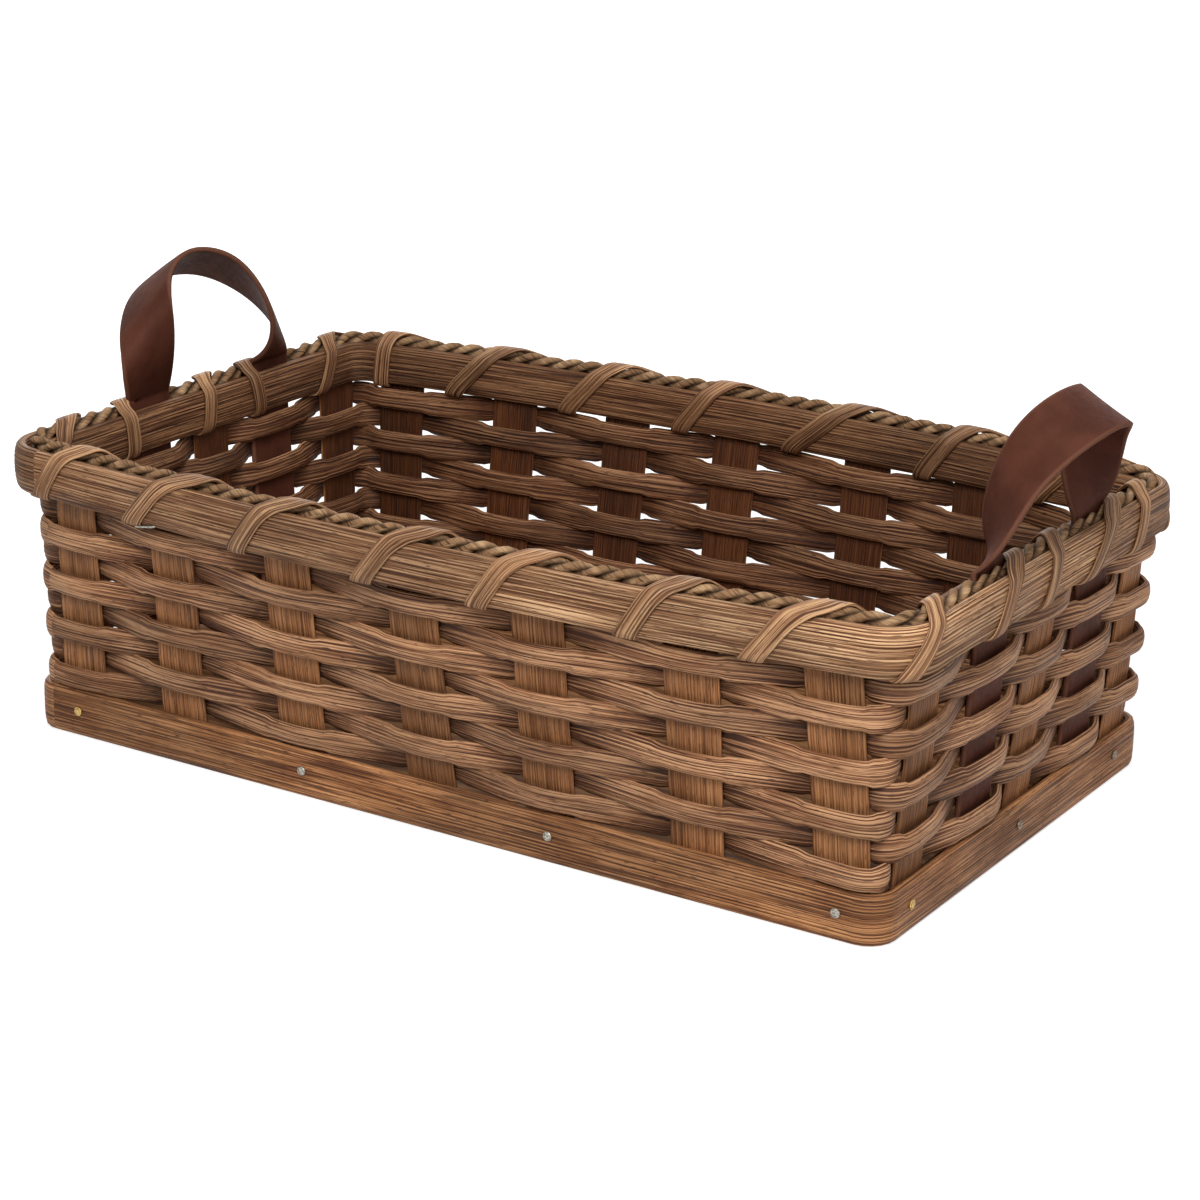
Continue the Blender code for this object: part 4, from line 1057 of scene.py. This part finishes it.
def stapleMesh():
    crown = wall["rimOffset"] + staple["crown"]
    middle = wallMiddles[-1, sideNames.index(staple["side"])]
    place, level = np.repeat(staple["ends"], 2, axis=0).T
    path = onWall((middle + place) / rimLength, level, crown - staple["depth"] * np.array((1, 0, 0, 1)))
    steps = np.linspace(0, 3, staple["steps"])
    line = smoothed(pointsAt(steps, np.arange(4), path), staple["soften"])
    line[0], line[-1] = path[0], path[-1]
    forward = unit(np.gradient(line, axis=0))
    sideways = unit(np.cross(forward, (0, 0, 1.0)))
    angle, circle = roundOf(staple["sides"], sideways[:, None], np.cross(sideways, forward)[:, None])
    return gridMesh(line[:, None] + staple["radius"] * circle,
                    grainMap(steps * 0.003, angle * staple["radius"], 0), False)


addPiece("wire_staple_front_left", stapleMesh(), nailMetals["steelHead"], "nail_steel")
print("staples made")

# Studio: pale floor that shows white to the camera and keeps the shadow, with a glow that rises with the
# distance from the object, white world, four soft lamps with their places, sizes and powers
studio = {"floorSize": 30.0, "floorDrop": 0.0002, "floorColour": (0.62, 0.62, 0.62), "floorRough": 0.9,
          "floorGlow": (0.62, 1.0), "glowReach": (0.25, 1.1), "worldLight": 0.17, "aim": (0, 0, 0.06),
          "lamps": {"key": ((0.46, -0.95, 1.0), 0.7, 13.2), "fill": ((2.2, -1.0, 1.2), 1.4, 8.5),
                    "top": ((0.5, -0.2, 2.0), 1.5, 12), "back": ((-1.7, 1.9, 1.2), 1.4, 26)}}


def addLamp(name, place, size, power):
    data = bpy.data.lights.new(name, "AREA")
    data.shape, data.size, data.energy = "DISK", size, power
    item = addObject(name, data)
    aim = unit(np.subtract(studio["aim"], place))
    item.location = place
    item.rotation_euler = math.acos(-aim[2]), 0, math.atan2(-aim[0], aim[1])


def seenDirectly(tree):
    path = newNode(tree, "ShaderNodeLightPath").outputs
    seen = mathNode("ADD", path["Is Camera Ray"], path["Is Glossy Ray"], clamp=True)
    return mathNode("ADD", seen, path["Is Transmission Ray"], clamp=True)


def addFloor():
    half = studio["floorSize"] / 2
    mesh = bpy.data.meshes.new("floor")
    mesh.from_pydata([(-half, -half, 0), (half, -half, 0), (half, half, 0), (-half, half, 0)], [],
                     [(0, 1, 2, 3)])
    floor = addObject("floor", mesh)
    floor.location = (0, 0, -studio["floorDrop"])
    material, tree, shader = newMaterial("paleFloor")
    away = newNode(tree, "ShaderNodeVectorMath", {0: objectPlace(tree)}, operation="LENGTH").outputs["Value"]
    glow = mathNode("MULTIPLY", seenDirectly(tree),
                    mapRange(away, *studio["glowReach"], *studio["floorGlow"]))
    feed(shader, {"Base Color": studio["floorColour"], "Roughness": studio["floorRough"],
                        "Emission Color": (1, 1, 1), "Emission Strength": glow})
    mesh.materials.append(material)


def addWorld():
    world = bpy.data.worlds.new("studioWorld")
    bpy.context.scene.world = world
    world.use_nodes = True
    tree, low = world.node_tree, studio["worldLight"]
    light = mathNode("MULTIPLY_ADD", seenDirectly(tree), 1 - low, low)
    feed(tree.nodes["Background"], {"Color": (1, 1, 1), "Strength": light})


addFloor()
addWorld()
for name, lamp in studio["lamps"].items():
    addLamp(name, *lamp)
bpy.context.scene.view_settings.view_transform = "Standard"
print("studio lit")
